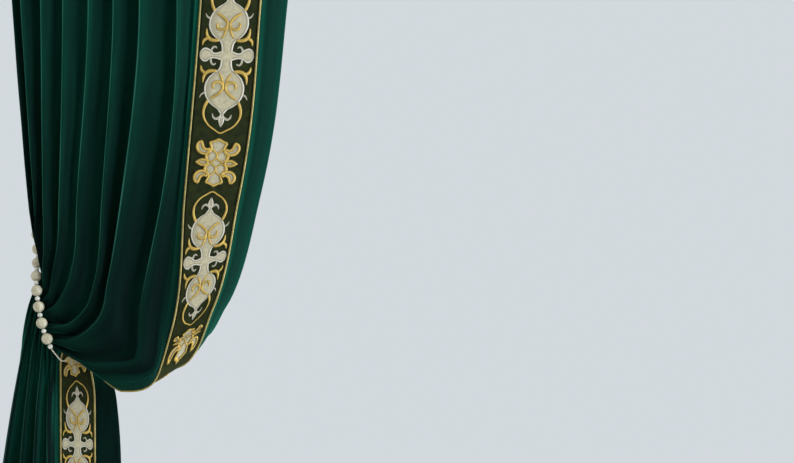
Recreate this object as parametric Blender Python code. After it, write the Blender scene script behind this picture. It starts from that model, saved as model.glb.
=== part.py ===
"""A velvet drape with an applied border, held back in a swag by a beaded tie.

The drape hangs from its top edge. X runs across it towards the leading edge, Y runs from the
room to the wall, Z is up, and the origin is the middle of the top edge. Units are metres.

The cloth is a surface P(u, t). u counts pleats from the outer edge: every whole number up to
PLEATS is the trough between two pleats, BAND_FROM to BAND_TO carries the border, and LEAD is
the leading edge. t follows a thread from the top edge to the hem.
"""

from collections import namedtuple

import bpy
import numpy as np

# ---- driving sizes ----

CUT_LENGTH = 2.70
CLOTH_THICK = 0.002
GAP = 0.0005

PLEATS = 8
BAND_FROM = 8.0
BAND_TO = 9.0
LEAD = 10.0

BORDER_THICK = 0.0012
PIPING_DIAMETER = 0.005
PIPING_SIDES = 6

LARGE_BEAD = 0.028
SMALL_BEAD = 0.0125
BEAD_PAIRS = 9
BEAD_BORE = 0.006
BEAD_GAP = 0.0004
CORD_DIAMETER = 0.0036
CORD_SIDES = 6

# Where the cloth's columns stand: steps from one ridge to the next, and their least distance
# from the outer edge and from the border; columns in the border, and how far from its edges
# they begin; and columns in the leading edge's strip.
RIDGE_STEPS = (0.0, 0.22, 0.45, 0.65, 0.82, 0.92)
EDGE_CLEAR = 0.08
BAND_COLUMNS = 4
BAND_INSET = 0.12
STRIP_COLUMNS = 3

# Short step, in u and in t, for the base's normals; samples for measuring a thread, for laying
# the beads and for the tie behind them; and each bead's rings and sides.
STEP = 0.01
THREAD_SAMPLES = 200
STRAND_SAMPLES = 2000
REAR_POINTS = 40
LARGE_BEAD_MESH = (8, 10)
SMALL_BEAD_MESH = (6, 8)

# ---- how the cloth hangs ----
# One row for each guide thread, in millimetres: how far across (x), how far towards the wall
# (y) and how high (z) it is where it passes each station on its way down.
#   head   on the top edge                 chest  1.0 m down, still hanging straight
#   rib    1.5 m down, drawing in          knee   where it starts to swing to the tie
#   turn   lowest or outermost part of the swag
#   under  part of the way back to the tie
#   waist  through the loop of the tie     below  45 mm under that
#   tail   on the way down to the hem, all of them at one height
# flare is how far it moves across, in millimetres for each metre, from the tail to the hem.

Guide = namedtuple(
    "Guide",
    "u head_x chest_x rib_x knee_x knee_y knee_z turn_x turn_y turn_z "
    "under_x under_y under_z waist_x waist_y waist_z below_x below_y tail_x tail_y flare",
)

GUIDES = (
    Guide(0.0, -385, -335, -294, -285, 2, -1590, -271, 2, -1650,
          -263, 4, -1700, -279, 17, -1738, -297, 18, -340, 22, -138),
    Guide(0.5, -358, -318, -283, -276, 0, -1605, -263, -3, -1662,
          -256, -3, -1712, -274, 12, -1750, -290, 18, -331, 22, -118),
    Guide(1.5, -300, -268, -260, -256, -10, -1625, -252, -14, -1680,
          -249, -14, -1728, -267, 8, -1770, -284, 18, -316, 22, -95),
    Guide(2.5, -238, -214, -221, -226, -15, -1652, -233, -22, -1705,
          -240, -24, -1756, -264, 7, -1792, -278, 18, -300, 22, -75),
    Guide(3.5, -172, -152, -180, -189, -20, -1682, -204, -30, -1742,
          -229, -32, -1787, -258, 6, -1815, -270, 18, -286, 22, -58),
    Guide(4.5, -100, -88, -115, -128, -28, -1732, -153, -40, -1802,
          -206, -40, -1838, -254, 6, -1838, -262, 18, -273, 22, -42),
    Guide(5.5, -25, -24, -70, -100, -32, -1732, -125, -50, -1820,
          -188, -46, -1868, -246, 6, -1868, -252, 18, -260, 23, -28),
    Guide(6.5, 70, 72, 32, -24, -42, -1806, -37, -60, -1916,
          -130, -54, -1926, -235, 5, -1890, -243, 20, -249, 24, -14),
    Guide(7.5, 135, 115, 75, 42, -44, -1830, 12, -60, -1953,
          -88, -50, -1970, -221, 4, -1897, -233, 24, -235, 27, -6),
    Guide(8.0, 165, 132, 91, 64, -42, -1840, 6, -40, -1984,
          -60, -25, -1998, -205, 5, -1891, -223, 32, -223, 36, 6),
    Guide(9.0, 315, 282, 226, 162, -34, -1800, 90, -10, -1932,
          -30, -10, -1955, -170, 12, -1866, -157, 38, -137, 42, 4),
    Guide(10.0, 388, 349, 278, 205, -24, -1790, 135, 6, -1902,
          -10, 2, -1922, -140, 20, -1856, -122, 42, -82, 44, 55),
)

CHEST_Z = -1.025
RIB_Z = -1.525
BELOW = 0.045
TAIL_Z = -2.025

# Rows of faces from each station to the next, and half the pleats' depth at each station.
ROWS_BETWEEN = (3, 3, 3, 5, 6, 9, 5, 3, 3)
PLEAT_DEPTH = (0.022, 0.022, 0.021, 0.019, 0.018, 0.014, 0.012, 0.014, 0.024, 0.036)

# How full each pleat is beside the others, from the outer edge, at the top, in the swag and in
# the tail.
TOP_FULLNESS = (0.80, 1.00, 0.95, 0.75, 1.05, 1.25, 1.10, 0.55)
SWAG_FULLNESS = (0.80, 0.90, 0.90, 0.75, 1.00, 0.95, 0.50, 0.25)
TAIL_FULLNESS = (1.10, 1.00, 1.05, 0.95, 1.15, 1.00, 0.90, 0.60)

# Where a pleat's ridge lies in it; how far from one ridge towards the next the trough lies, at
# each station; how much broader a ridge is than a trough; from where to where in u the wave
# fades away; how far each fold leans over the trough beside it, as a share of its height; and
# how far the leading edge turns back from the border.
RIDGE_AT = 0.66
TROUGH_AT = (0.78, 0.84, 0.84, 0.82, 0.78, 0.70, 0.62, 0.62, 0.64, 0.64)
BROADEN = 0.2
WAVE_FADE = (7.0, 7.7)
LEAN = 0.25
STRIP_TURN = 0.024

# ---- the tie ----
# The route of its cord, in millimetres, from the eye on the wall hook over the front of the
# gathered cloth, under the swag and back to the eye behind.

RoutePoint = namedtuple("RoutePoint", "x y z")

FRONT_STRAND = (
    RoutePoint(-291, 92, -1540),
    RoutePoint(-285, 66, -1600),
    RoutePoint(-281, 46, -1640),
    RoutePoint(-278, 27, -1674),
    RoutePoint(-279, 5, -1702),
    RoutePoint(-278, -16, -1728),
    RoutePoint(-275, -28, -1758),
    RoutePoint(-269, -34, -1797),
    RoutePoint(-261, -38, -1838),
    RoutePoint(-248, -40, -1873),
    RoutePoint(-238, -38, -1896),
)
REAR_STRAND = (
    RoutePoint(-228, -32, -1910),
    RoutePoint(-214, -18, -1926),
    RoutePoint(-200, 3, -1922),
    RoutePoint(-170, 18, -1894),
    RoutePoint(-138, 28, -1884),
    RoutePoint(-116, 40, -1872),
    RoutePoint(-122, 60, -1842),
    RoutePoint(-180, 72, -1780),
    RoutePoint(-230, 80, -1700),
    RoutePoint(-256, 89, -1616),
    RoutePoint(-271, 96, -1571),
)
EYE = RoutePoint(-293, 98, -1524)


def metres(values):
    return np.asarray(values, float) / 1000


def smooth(knots, values, at):
    """Values read at `at` from a cubic Hermite curve through (knots, values).

    Its slope at an inner knot is the mean of the two sides' slopes, weighted by the far side's
    length. It is kept under three times the gentler of them, and is 0 where they differ in
    sign, so that the curve never overshoots a value. values may have more axes.
    """
    knots = np.asarray(knots, float)
    values = np.asarray(values, float)
    step = np.diff(knots).reshape((-1,) + (1,) * (values.ndim - 1))
    slope = np.diff(values, axis=0) / step
    before, after = slope[:-1], slope[1:]
    mean = (before * step[1:] + after * step[:-1]) / (step[:-1] + step[1:])
    most = 3 * np.minimum(abs(before), abs(after)) * (before * after > 0)
    tangent = np.concatenate([slope[:1], np.clip(mean, -most, most), slope[-1:]])
    at = np.asarray(at, float)
    span = np.clip(np.searchsorted(knots, at, side="right") - 1, 0, len(knots) - 2)
    local_shape = at.shape + (1,) * (values.ndim - 1)
    width = (knots[span + 1] - knots[span]).reshape(local_shape)
    w = (at - knots[span]).reshape(local_shape) / width
    return (
        values[span] * (1 + 2 * w) * (1 - w) ** 2
        + values[span + 1] * w**2 * (3 - 2 * w)
        + tangent[span] * width * w * (1 - w) ** 2
        + tangent[span + 1] * width * w**2 * (w - 1)
    )


def ease(value, start, end):
    """0 up to start and 1 from end, smooth between them."""
    w = np.clip((value - start) / (end - start), 0, 1)
    return w * w * (3 - 2 * w)


def column(name):
    return metres([getattr(guide, name) for guide in GUIDES])


GUIDE_U = np.array([guide.u for guide in GUIDES])


def guide_stations():
    """The guide threads' points at every station, as (station, guide, xyz)."""
    level = np.zeros(len(GUIDES))
    points = [
        (column("head_x"), level, level),
        (column("chest_x"), level, level + CHEST_Z),
        (column("rib_x"), level, level + RIB_Z),
        (column("knee_x"), column("knee_y"), column("knee_z")),
        (column("turn_x"), column("turn_y"), column("turn_z")),
        (column("under_x"), column("under_y"), column("under_z")),
        (column("waist_x"), column("waist_y"), column("waist_z")),
        (column("below_x"), column("below_y"), column("waist_z") - BELOW),
        (column("tail_x"), column("tail_y"), level + TAIL_Z),
    ]
    return np.array(points).transpose(0, 2, 1)


def thread_knots(points):
    """The value of t at each station: the mean length of the guide threads up to there."""
    chords = np.linalg.norm(np.diff(points, axis=0), axis=2).mean(axis=1)
    return np.concatenate([[0], np.cumsum(chords)])


def with_hem(points):
    """Adds the hem. Every thread is CUT_LENGTH long, so one that swings further ends higher."""
    knots = thread_knots(points)
    fine = smooth(knots, points, np.linspace(0, knots[-1], THREAD_SAMPLES))
    used = np.linalg.norm(np.diff(fine, axis=0), axis=2).sum(axis=0)
    left = CUT_LENGTH - used
    flare = column("flare")
    hem = points[-1].copy()
    hem[:, 0] += flare * left
    hem[:, 2] -= np.sqrt(1 - flare**2) * left
    return np.concatenate([points, hem[None]])


CONTROL = with_hem(guide_stations())
KNOTS = thread_knots(CONTROL)


def base_points(u, t):
    """The cloth without its pleats, as (t, u, xyz)."""
    threads = smooth(GUIDE_U, CONTROL.transpose(1, 0, 2), u).transpose(1, 0, 2)
    return smooth(KNOTS, threads, t)


def unit(vectors):
    return vectors / np.linalg.norm(vectors, axis=-1, keepdims=True)


def base_normals(u, t):
    """The base's normals, pointing to the room, from short steps across it and down it."""
    across = base_points(u + STEP, t) - base_points(u - STEP, t)
    down = base_points(u, t + STEP) - base_points(u, t - STEP)
    return unit(np.cross(down, across))


def line_directions(points, axis):
    """Directions along a grid's lines: at each point, the mean of the chords on its two sides."""
    chords = np.moveaxis(unit(np.diff(points, axis=axis)), axis, 0)
    both = np.concatenate([chords[:1], chords[:-1] + chords[1:], chords[-1:]])
    return np.moveaxis(both, 0, axis)


def grid_normals(points):
    """A grid's normals, pointing to the room, from its own lines."""
    return unit(np.cross(line_directions(points, 0), line_directions(points, 1)))


def folds(u, t, width):
    """1 on a ridge and -1 in a trough, as (t, u), for folds `width` pleats wide.

    A fold falls slowly from its ridge to the trough that lies just before the next ridge, and
    its ridge is broader than its trough.
    """
    run = np.mod((u - RIDGE_AT) / width, 1)[None, :]
    trough = smooth(KNOTS, TROUGH_AT, t)[:, None]
    fall, rise = run / trough, 1 + (run - trough) / (1 - trough)
    phase = np.pi * np.where(run < trough, fall, rise)
    return np.cos(phase) + BROADEN * (1 - np.cos(2 * phase))


def in_tail(t):
    """0 down to the waist, and 1 from the tail station on, where two pleats make one fold."""
    return ease(t, KNOTS[6], KNOTS[8])[:, None]


def pleat_wave(u, t):
    """The pleats' wave, which dies out after the last ridge, so that the border lies flat."""
    wave = folds(u, t, 1) * (1 - in_tail(t)) + folds(u, t, 2) * in_tail(t)
    return wave * (1 - ease(u, *WAVE_FADE))


def pleat_depth(u, t):
    """Half the depth of the pleats: the depth at t times each pleat's fullness there."""
    stations = KNOTS[[0, 2, 4, 6, 8, 9]]
    top, swag, tail = TOP_FULLNESS, SWAG_FULLNESS, TAIL_FULLNESS
    fullness = smooth(stations, (top, top, swag, swag, tail, tail), t)
    at = np.clip(u - RIDGE_AT, 0, PLEATS - 1)
    return smooth(KNOTS, PLEAT_DEPTH, t)[:, None] * smooth(np.arange(PLEATS), fullness.T, at).T


def cloth_points(u, t):
    """The middle of the cloth, as (t, u, xyz): the base, with its folds raised and leaning."""
    base = base_points(u, t)
    normal = base_normals(u, t)
    across = unit(base_points(u + STEP, t) - base_points(u - STEP, t))
    fold = (pleat_wave(u, t) * pleat_depth(u, t))[..., None]
    turned = (ease(u, BAND_TO, LEAD)[None] * (1 - in_tail(t)))[..., None]
    return base + normal * (fold - STRIP_TURN * turned) - across * (fold * LEAN)


def border_columns():
    return np.linspace(BAND_FROM + BAND_INSET, BAND_TO - BAND_INSET, BAND_COLUMNS + 1)


def cloth_columns():
    ridges = np.arange(-1, PLEATS)[:, None] + RIDGE_AT
    steps = (ridges + np.array(RIDGE_STEPS)).ravel()
    pleated = steps[(steps > EDGE_CLEAR) & (steps < BAND_FROM - EDGE_CLEAR)]
    strip = np.linspace(BAND_TO, LEAD, STRIP_COLUMNS + 1)
    return np.concatenate([[0], pleated, [BAND_FROM], border_columns(), strip])


def cloth_rows():
    spans = [
        np.linspace(KNOTS[i], KNOTS[i + 1], count, endpoint=False)
        for i, count in enumerate(ROWS_BETWEEN)
    ]
    return np.concatenate(spans + [KNOTS[-1:]])


# ---- meshes ----


def add_object(name, points, faces, material):
    mesh = bpy.data.meshes.new(name)
    mesh.from_pydata(points.reshape(-1, 3).tolist(), [], faces)
    mesh.shade_smooth()
    mesh.materials.append(material)
    item = bpy.data.objects.new(name, mesh)
    bpy.context.scene.collection.objects.link(item)


def grid_triangles(rows, columns, start=0, flip=False):
    """The triangles of a grid of points stored row by row, cut along the same diagonals."""
    index = np.arange(rows * columns).reshape(rows, columns) + start
    corner, below, right, far = index[:-1, :-1], index[1:, :-1], index[:-1, 1:], index[1:, 1:]
    faces = np.stack([corner, below, far, corner, far, right], axis=-1).reshape(-1, 3)
    return faces[:, ::-1] if flip else faces


def add_sheet(name, front, back, material):
    """A closed solid between two grids of the same size; front is on the room's side."""
    rows, columns = front.shape[:2]
    index = np.arange(rows * columns).reshape(rows, columns)
    rim = np.concatenate([index[0, :-1], index[:-1, -1], index[-1, :0:-1], index[:0:-1, 0]])
    ahead = np.roll(rim, -1)
    under = rows * columns
    wall = np.stack([rim, ahead, ahead + under, rim, ahead + under, rim + under], axis=1)
    faces = np.concatenate([
        grid_triangles(rows, columns),
        grid_triangles(rows, columns, start=under, flip=True),
        wall.reshape(-1, 3),
    ])
    points = np.concatenate([front.reshape(-1, 3), back.reshape(-1, 3)])
    add_object(name, points, faces.tolist(), material)


def ring_faces(rings, sides, closed):
    """Quads between rings of points; closed joins the last ring to the first."""
    index = np.arange(rings * sides).reshape(rings, sides)
    if closed:
        index = np.concatenate([index, index[:1]])
    wrapped = np.concatenate([index, index[:, :1]], axis=1)
    corners = wrapped[:-1, :-1], wrapped[:-1, 1:], wrapped[1:, 1:], wrapped[1:, :-1]
    return np.stack(corners, axis=-1).reshape(-1, 4)


def ring_points(path, side, up, radius, sides):
    """Circles of `sides` points around a path, in the planes of the two directions given."""
    angle = 2 * np.pi * np.arange(sides) / sides
    around = np.cos(angle)[None, :, None] * side[:, None] + np.sin(angle)[None, :, None] * up[:, None]
    return path[:, None] + radius * around


def add_material(name, colour, roughness, metallic=0.0):
    material = bpy.data.materials.new(name)
    material.use_nodes = True
    shader = material.node_tree.nodes["Principled BSDF"]
    shader.inputs["Base Color"].default_value = (*colour, 1)
    shader.inputs["Roughness"].default_value = roughness
    shader.inputs["Metallic"].default_value = metallic
    return material


# ---- the pieces ----


def add_panel(velvet):
    """The velvet panel, with its turned edges as part of the cloth."""
    middle = cloth_points(cloth_columns(), cloth_rows())
    lift = grid_normals(middle) * CLOTH_THICK / 2
    add_sheet("drape_panel", middle + lift, middle - lift, velvet)


def add_border(olive):
    """The border band, laid on the face of the panel between the two pipings."""
    columns = cloth_columns()
    chosen = (columns > BAND_FROM) & (columns < BAND_TO)
    middle = cloth_points(columns, cloth_rows())
    normal = grid_normals(middle)[:, chosen]
    middle = middle[:, chosen]
    low = CLOTH_THICK / 2 + GAP
    high = low + BORDER_THICK
    add_sheet("border_band", middle + normal * high, middle + normal * low, olive)


def add_piping(name, at, gold):
    """A round gold cord sewn on the face of the panel along one thread."""
    columns = cloth_columns()
    middle = cloth_points(columns, cloth_rows())
    normal = grid_normals(middle)
    chosen = int(np.argmin(abs(columns - at)))
    lift = CLOTH_THICK / 2 + GAP + PIPING_DIAMETER / 2
    path = middle[:, chosen] + normal[:, chosen] * lift
    along = unit(np.gradient(path, axis=0))
    side = unit(np.cross(along, normal[:, chosen]))
    up = np.cross(along, side)
    points = ring_points(path, side, up, PIPING_DIAMETER / 2, PIPING_SIDES)
    add_tube(name, points, gold)


def add_tube(name, rings, material):
    """A tube with flat closed ends through rings of points."""
    count, sides = rings.shape[:2]
    faces = ring_faces(count, sides, closed=False).tolist()
    faces.append(list(range(sides))[::-1])
    faces.append(list(range((count - 1) * sides, count * sides)))
    add_object(name, rings, faces, material)


def curve_through(points, count):
    """Evenly numbered points on a smooth curve through the ones given (Catmull-Rom)."""
    points = np.asarray(points, float)
    ends = np.concatenate([2 * points[:1] - points[1:2], points, 2 * points[-1:] - points[-2:-1]])
    at = np.linspace(0, len(points) - 1, count)
    span = np.minimum(at.astype(int), len(points) - 2)
    w = (at - span)[:, None]
    a, b, c, d = (ends[span + i] for i in range(4))
    return 0.5 * (2 * b + (c - a) * w + (2 * a - 5 * b + 4 * c - d) * w**2 + (3 * b - 3 * c + d - a) * w**3)


def bead_joints():
    """The points where the beads meet, walking up the front strand from its lower end."""
    route = curve_through(metres(FRONT_STRAND)[::-1], STRAND_SAMPLES)
    lengths = [SMALL_BEAD, LARGE_BEAD] * BEAD_PAIRS + [SMALL_BEAD]
    joints = [route[0]]
    start = 0
    for length in lengths:
        reach = np.linalg.norm(route[start:] - joints[-1], axis=1)
        start += int(np.argmax(reach >= length + BEAD_GAP))
        joints.append(route[start])
    return np.array(joints), lengths


def bead_rings(length, steps, sides):
    """Rings of a round bead along its own Z axis: out over its face, then back down its bore."""
    bore = BEAD_BORE / 2
    radius = length / 2
    lean = np.arcsin(bore / radius)
    angle = np.linspace(lean, np.pi - lean, steps)
    profile = np.stack([radius * np.sin(angle), radius * np.cos(angle)], axis=1)
    turn = 2 * np.pi * np.arange(sides) / sides
    flat = np.stack([np.cos(turn), np.sin(turn)], axis=1)
    ring = profile[:, None, :1] * flat[None]
    height = np.broadcast_to(profile[:, None, 1:], (steps, sides, 1))
    return np.concatenate([ring, height], axis=2)


def place_along(points, start, end):
    """Turns points so that their own Z axis runs from start to end, centred between them."""
    along = unit(end - start)
    side = unit(np.cross(along, np.array([0.0, 1.0, 0.0])))
    up = np.cross(along, side)
    return (start + end) / 2 + points @ np.array([side, up, along])


def add_beads(pale_wood, white_wood):
    joints, lengths = bead_joints()
    for i, length in enumerate(lengths):
        large = length == LARGE_BEAD
        steps, sides = LARGE_BEAD_MESH if large else SMALL_BEAD_MESH
        rings = place_along(bead_rings(length, steps, sides), joints[i], joints[i + 1])
        name = f"bead_large_{i // 2 + 1:02d}" if large else f"bead_small_{i // 2 + 1:02d}"
        faces = ring_faces(steps, sides, closed=True)[:, ::-1]
        add_object(name, rings, faces.tolist(), pale_wood if large else white_wood)


def tie_route():
    """The closed route of the tie's cord: straight inside each bead, curved elsewhere."""
    joints, _ = bead_joints()
    behind = np.concatenate([metres([EYE]), metres(REAR_STRAND)[::-1], joints[:1]])
    rear = curve_through(behind, REAR_POINTS)
    return np.concatenate([joints, rear[:-1]])


def add_tie_cord(cotton):
    path = tie_route()
    along = unit(np.roll(path, -1, axis=0) - np.roll(path, 1, axis=0))
    outward = path - path.mean(axis=0)
    side = unit(outward - along * (outward * along).sum(axis=1, keepdims=True))
    up = np.cross(along, side)
    rings = ring_points(path, side, up, CORD_DIAMETER / 2, CORD_SIDES)
    faces = ring_faces(len(path), CORD_SIDES, closed=True)
    add_object("tie_cord", rings, faces.tolist(), cotton)


def main():
    for item in list(bpy.data.objects):
        bpy.data.objects.remove(item)
    velvet = add_material("velvet", (0.006, 0.06, 0.045), 0.85)
    olive = add_material("border_cloth", (0.04, 0.05, 0.02), 0.8)
    gold = add_material("gold_piping", (0.5, 0.36, 0.1), 0.45)
    pale_wood = add_material("pale_wood", (0.65, 0.6, 0.47), 0.5)
    white_wood = add_material("white_wood", (0.72, 0.72, 0.66), 0.45)
    cotton = add_material("cotton_cord", (0.6, 0.58, 0.5), 0.9)
    add_panel(velvet)
    add_border(olive)
    add_piping("piping_inner", BAND_FROM, gold)
    add_piping("piping_outer", BAND_TO, gold)
    add_beads(pale_wood, white_wood)
    add_tie_cord(cotton)


main()
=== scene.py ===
"""The visual model of a velvet drape with an applied border, held back by a beaded tie.

It is laid out as a Blender add-on and run as a script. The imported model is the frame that
every piece is built on. Lengths are in metres, or in millimetres in the tables.

The cloth is a surface P(u, t). u counts pleats from the outer edge: every whole number up to
PLEATS is the trough between two pleats, BAND_FROM to BAND_TO carries the border, and LEAD is
the leading edge. t follows a thread from the top edge to the hem.
"""

from collections import namedtuple
from functools import partial

import bpy
import numpy as np
from bpy.props import FloatProperty, FloatVectorProperty, PointerProperty
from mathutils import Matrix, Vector


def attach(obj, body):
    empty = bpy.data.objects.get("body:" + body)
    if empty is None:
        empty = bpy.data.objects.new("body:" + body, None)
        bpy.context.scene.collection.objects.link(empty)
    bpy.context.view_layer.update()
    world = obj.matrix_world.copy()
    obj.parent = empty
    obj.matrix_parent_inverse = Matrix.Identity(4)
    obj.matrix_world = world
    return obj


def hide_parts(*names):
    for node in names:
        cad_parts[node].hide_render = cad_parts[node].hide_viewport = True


bl_info = {
    "name": "Velvet drape with beaded tie",
    "version": (1, 0, 0),
    "blender": (4, 5, 0),
    "location": "3D View > Sidebar > Drape",
    "description": "Builds the cloth, border, embroidery, piping and tie of a velvet drape",
    "category": "Object",
}

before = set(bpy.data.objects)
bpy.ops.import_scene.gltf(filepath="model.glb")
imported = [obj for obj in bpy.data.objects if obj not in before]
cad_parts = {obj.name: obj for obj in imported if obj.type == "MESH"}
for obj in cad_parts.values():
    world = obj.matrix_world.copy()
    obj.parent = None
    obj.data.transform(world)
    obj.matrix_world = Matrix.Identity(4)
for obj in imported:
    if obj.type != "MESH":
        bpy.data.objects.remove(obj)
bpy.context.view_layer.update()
BODY = "root"

# ---- sizes shared with the solids ----
# The velvet as it is cut, then the border: GAP lies between it and the velvet. Then the beads
# and the cord of the tie: BEAD_PAIRS large beads, each with a small one, and one small one more.

CUT_WIDTH = 1.20
CUT_LENGTH = 2.70
CLOTH_THICK = 0.002
GAP = 0.0005

PLEATS = 8
BAND_FROM = 8.0
BAND_TO = 9.0
LEAD = 10.0

BORDER_THICK = 0.0012
PIPING_DIAMETER = 0.005
LARGE_BEAD = 0.028
SMALL_BEAD = 0.0125
BEAD_PAIRS = 9
BEAD_BORE = 0.006
BEAD_GAP = 0.0004
CORD_DIAMETER = 0.0036

# The step in u and t over which a normal is worked out, and how many points a guide thread and
# the tie's front strand are measured with.
STEP = 0.01
THREAD_SAMPLES = 200
STRAND_SAMPLES = 2000

# ---- how the cloth hangs ----
# One row for each guide thread, in millimetres: how far across (x), how far towards the wall
# (y) and how high (z) it is where it passes each station on its way down.
#   head   on the top edge                 chest  1.0 m down, still hanging straight
#   rib    1.5 m down, drawing in          knee   where it starts to swing to the tie
#   turn   lowest or outermost part of the swag
#   under  part of the way back to the tie
#   waist  through the loop of the tie     below  45 mm under that
#   tail   on the way down to the hem, all of them at one height
# flare is how far it moves across, in millimetres for each metre, from the tail to the hem.
Guide = namedtuple(
    "Guide",
    "u head_x chest_x rib_x knee_x knee_y knee_z turn_x turn_y turn_z "
    "under_x under_y under_z waist_x waist_y waist_z below_x below_y tail_x tail_y flare",
)

GUIDES = (
    Guide(0.0, -385, -335, -294, -285, 2, -1590, -271, 2, -1650,
          -263, 4, -1700, -279, 17, -1738, -297, 18, -340, 22, -138),
    Guide(0.5, -358, -318, -283, -276, 0, -1605, -263, -3, -1662,
          -256, -3, -1712, -274, 12, -1750, -290, 18, -331, 22, -118),
    Guide(1.5, -300, -268, -260, -256, -10, -1625, -252, -14, -1680,
          -249, -14, -1728, -267, 8, -1770, -284, 18, -316, 22, -95),
    Guide(2.5, -238, -214, -221, -226, -15, -1652, -233, -22, -1705,
          -240, -24, -1756, -264, 7, -1792, -278, 18, -300, 22, -75),
    Guide(3.5, -172, -152, -180, -189, -20, -1682, -204, -30, -1742,
          -229, -32, -1787, -258, 6, -1815, -270, 18, -286, 22, -58),
    Guide(4.5, -100, -88, -115, -128, -28, -1732, -153, -40, -1802,
          -206, -40, -1838, -254, 6, -1838, -262, 18, -273, 22, -42),
    Guide(5.5, -25, -24, -70, -100, -32, -1732, -125, -50, -1820,
          -188, -46, -1868, -246, 6, -1868, -252, 18, -260, 23, -28),
    Guide(6.5, 70, 72, 32, -24, -42, -1806, -37, -60, -1916,
          -130, -54, -1926, -235, 5, -1890, -243, 20, -249, 24, -14),
    Guide(7.5, 135, 115, 75, 42, -44, -1830, 12, -60, -1953,
          -88, -50, -1970, -221, 4, -1897, -233, 24, -235, 27, -6),
    Guide(8.0, 165, 132, 91, 64, -42, -1840, 6, -40, -1984,
          -60, -25, -1998, -205, 5, -1891, -223, 32, -223, 36, 6),
    Guide(9.0, 315, 282, 226, 162, -34, -1800, 90, -10, -1932,
          -30, -10, -1955, -170, 12, -1866, -157, 38, -137, 42, 4),
    Guide(10.0, 388, 349, 278, 205, -24, -1790, 135, 6, -1902,
          -10, 2, -1922, -140, 20, -1856, -122, 42, -82, 44, 55),
)

CHEST_Z = -1.025
RIB_Z = -1.525
BELOW = 0.045
TAIL_Z = -2.025

# Half the pleats' depth at each station.
PLEAT_DEPTH = (0.022, 0.022, 0.021, 0.019, 0.018, 0.014, 0.012, 0.014, 0.024, 0.036)

# How full each pleat is beside the others, from the outer edge; how far from one ridge towards
# the next the trough lies, at each station; how much broader a ridge is than a trough; and from
# where to where in u the wave fades away.
TOP_FULLNESS = (0.80, 1.00, 0.95, 0.75, 1.05, 1.25, 1.10, 0.55)
SWAG_FULLNESS = (0.80, 0.90, 0.90, 0.75, 1.00, 0.95, 0.50, 0.25)
TAIL_FULLNESS = (1.10, 1.00, 1.05, 0.95, 1.15, 1.00, 0.90, 0.60)
TROUGH_AT = (0.78, 0.84, 0.84, 0.82, 0.78, 0.70, 0.62, 0.62, 0.64, 0.64)
BROADEN = 0.2
RIDGE_AT = 0.66
WAVE_FADE = (7.0, 7.7)

# ---- the tie ----
# The route of its cord, as (x, y, z) in millimetres, from the eye on the wall hook over the front
# of the gathered cloth, under the swag and back to the eye behind.

EYE = (-293, 98, -1524)
FRONT_STRAND = (
    (-291, 92, -1540), (-285, 66, -1600), (-281, 46, -1640), (-278, 27, -1674), (-279, 5, -1702),
    (-278, -16, -1728), (-275, -28, -1758), (-269, -34, -1797), (-261, -38, -1838),
    (-248, -40, -1873), (-238, -38, -1896),
)
REAR_STRAND = (
    (-228, -32, -1910), (-214, -18, -1926), (-200, 3, -1922), (-170, 18, -1894), (-138, 28, -1884),
    (-116, 40, -1872), (-122, 60, -1842), (-180, 72, -1780), (-230, 80, -1700), (-256, 89, -1616),
    (-271, 96, -1571),
)

# ---- finer sizes of the visual model ----

# The cloth's grid: columns on the side hem, to a pleat, under the border, over the strip beside
# it and on the leading hem, and rows. Then the grid of the border.
SIDE_HEM_COLUMNS = (0, 0.06, 0.12)
COLUMNS_PER_PLEAT = 16
UNDER_COLUMNS = 6
STRIP_COLUMNS = 15
LEAD_HEM_COLUMNS = (9.85, 9.93)
CLOTH_ROWS = 270
BORDER_COLUMNS = 32
BORDER_ROWS = 900

# How far each fold leans over the trough beside it, as a share of its depth, and how far the
# leading edge turns back from the border.
LEAN = 0.25
STRIP_TURN = 0.024

# Slow ripples: their depth, how many there are to a pleat and to a metre, and how far and how
# fast in u and in t each one wanders.
RIPPLES = (
    (0.0011, 2.3, 0.9, 1.3, 1.0, 2.2),
    (0.0009, 0.7, -3.1, 0.8, 4.0, 0.0),
    (0.0006, 1.9, 5.3, 0.0, 0.0, 0.0),
)

# A fold's crest, which gets a painted highlight: how far before the ridge it lies and how far
# it fades on its two sides, in u, and the half depth from which it shows in full.
CREST_LEADS = 0.04
CREST_SHARP = 0.02
CREST_SOFT = 0.055
CREST_DEPTH = 0.018

# Painted light and shade of the pile: a level everywhere, and painted light added to it, or
# painted shade taken from it in the swag, the tail and the outer pleats, as worked out below.
PAINTED_LIGHT_PLAIN = -0.033
PAINTED_LIGHT_PAST_CREST = 0.26
PAINTED_LIGHT_HOLLOW = 0.5
PAINTED_LIGHT_TAIL_HOLLOW = 0.72
PAINTED_LIGHT_BESIDE = 0.25
PAINTED_LIGHT_TIE = 0.04
PAINTED_LIGHT_STRIP = 0.06
PAINTED_LIGHT_LOW = 0.12
PAINTED_LIGHT_NEAR = 0.24
PAINTED_LIGHT_EDGE = 0.13
PAINTED_SHADE_SWAG = 0.03
PAINTED_SHADE_TAIL = 0.09
PAINTED_SHADE_OUTER = 0.03

# Turned hems: the stitched edges of the two side hems, in u, and half of the step down there;
# half of that step at the top and low hems, in metres, and how clear other rows keep of them.
SIDE_HEM_FROM = 0.19
SIDE_EASE = 0.02
LEAD_HEM_FROM = 9.72
LEAD_EASE = 0.03
EASE = 0.004
ROW_CLEAR = 0.003

# Ropes: the groove between two strands, as a share of the radius, the strands, and the points
# of a ring. Then the rings of a piping, the points that the tie's rear route is worked out with,
# and the spacing of its cord's rings.
ROPE_GROOVE = 0.2
STRANDS = 3
ROPE_SIDES = 12
PIPING_ROWS = 3000
REAR_SAMPLES = 300
CORD_STEP = 0.0009

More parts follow.
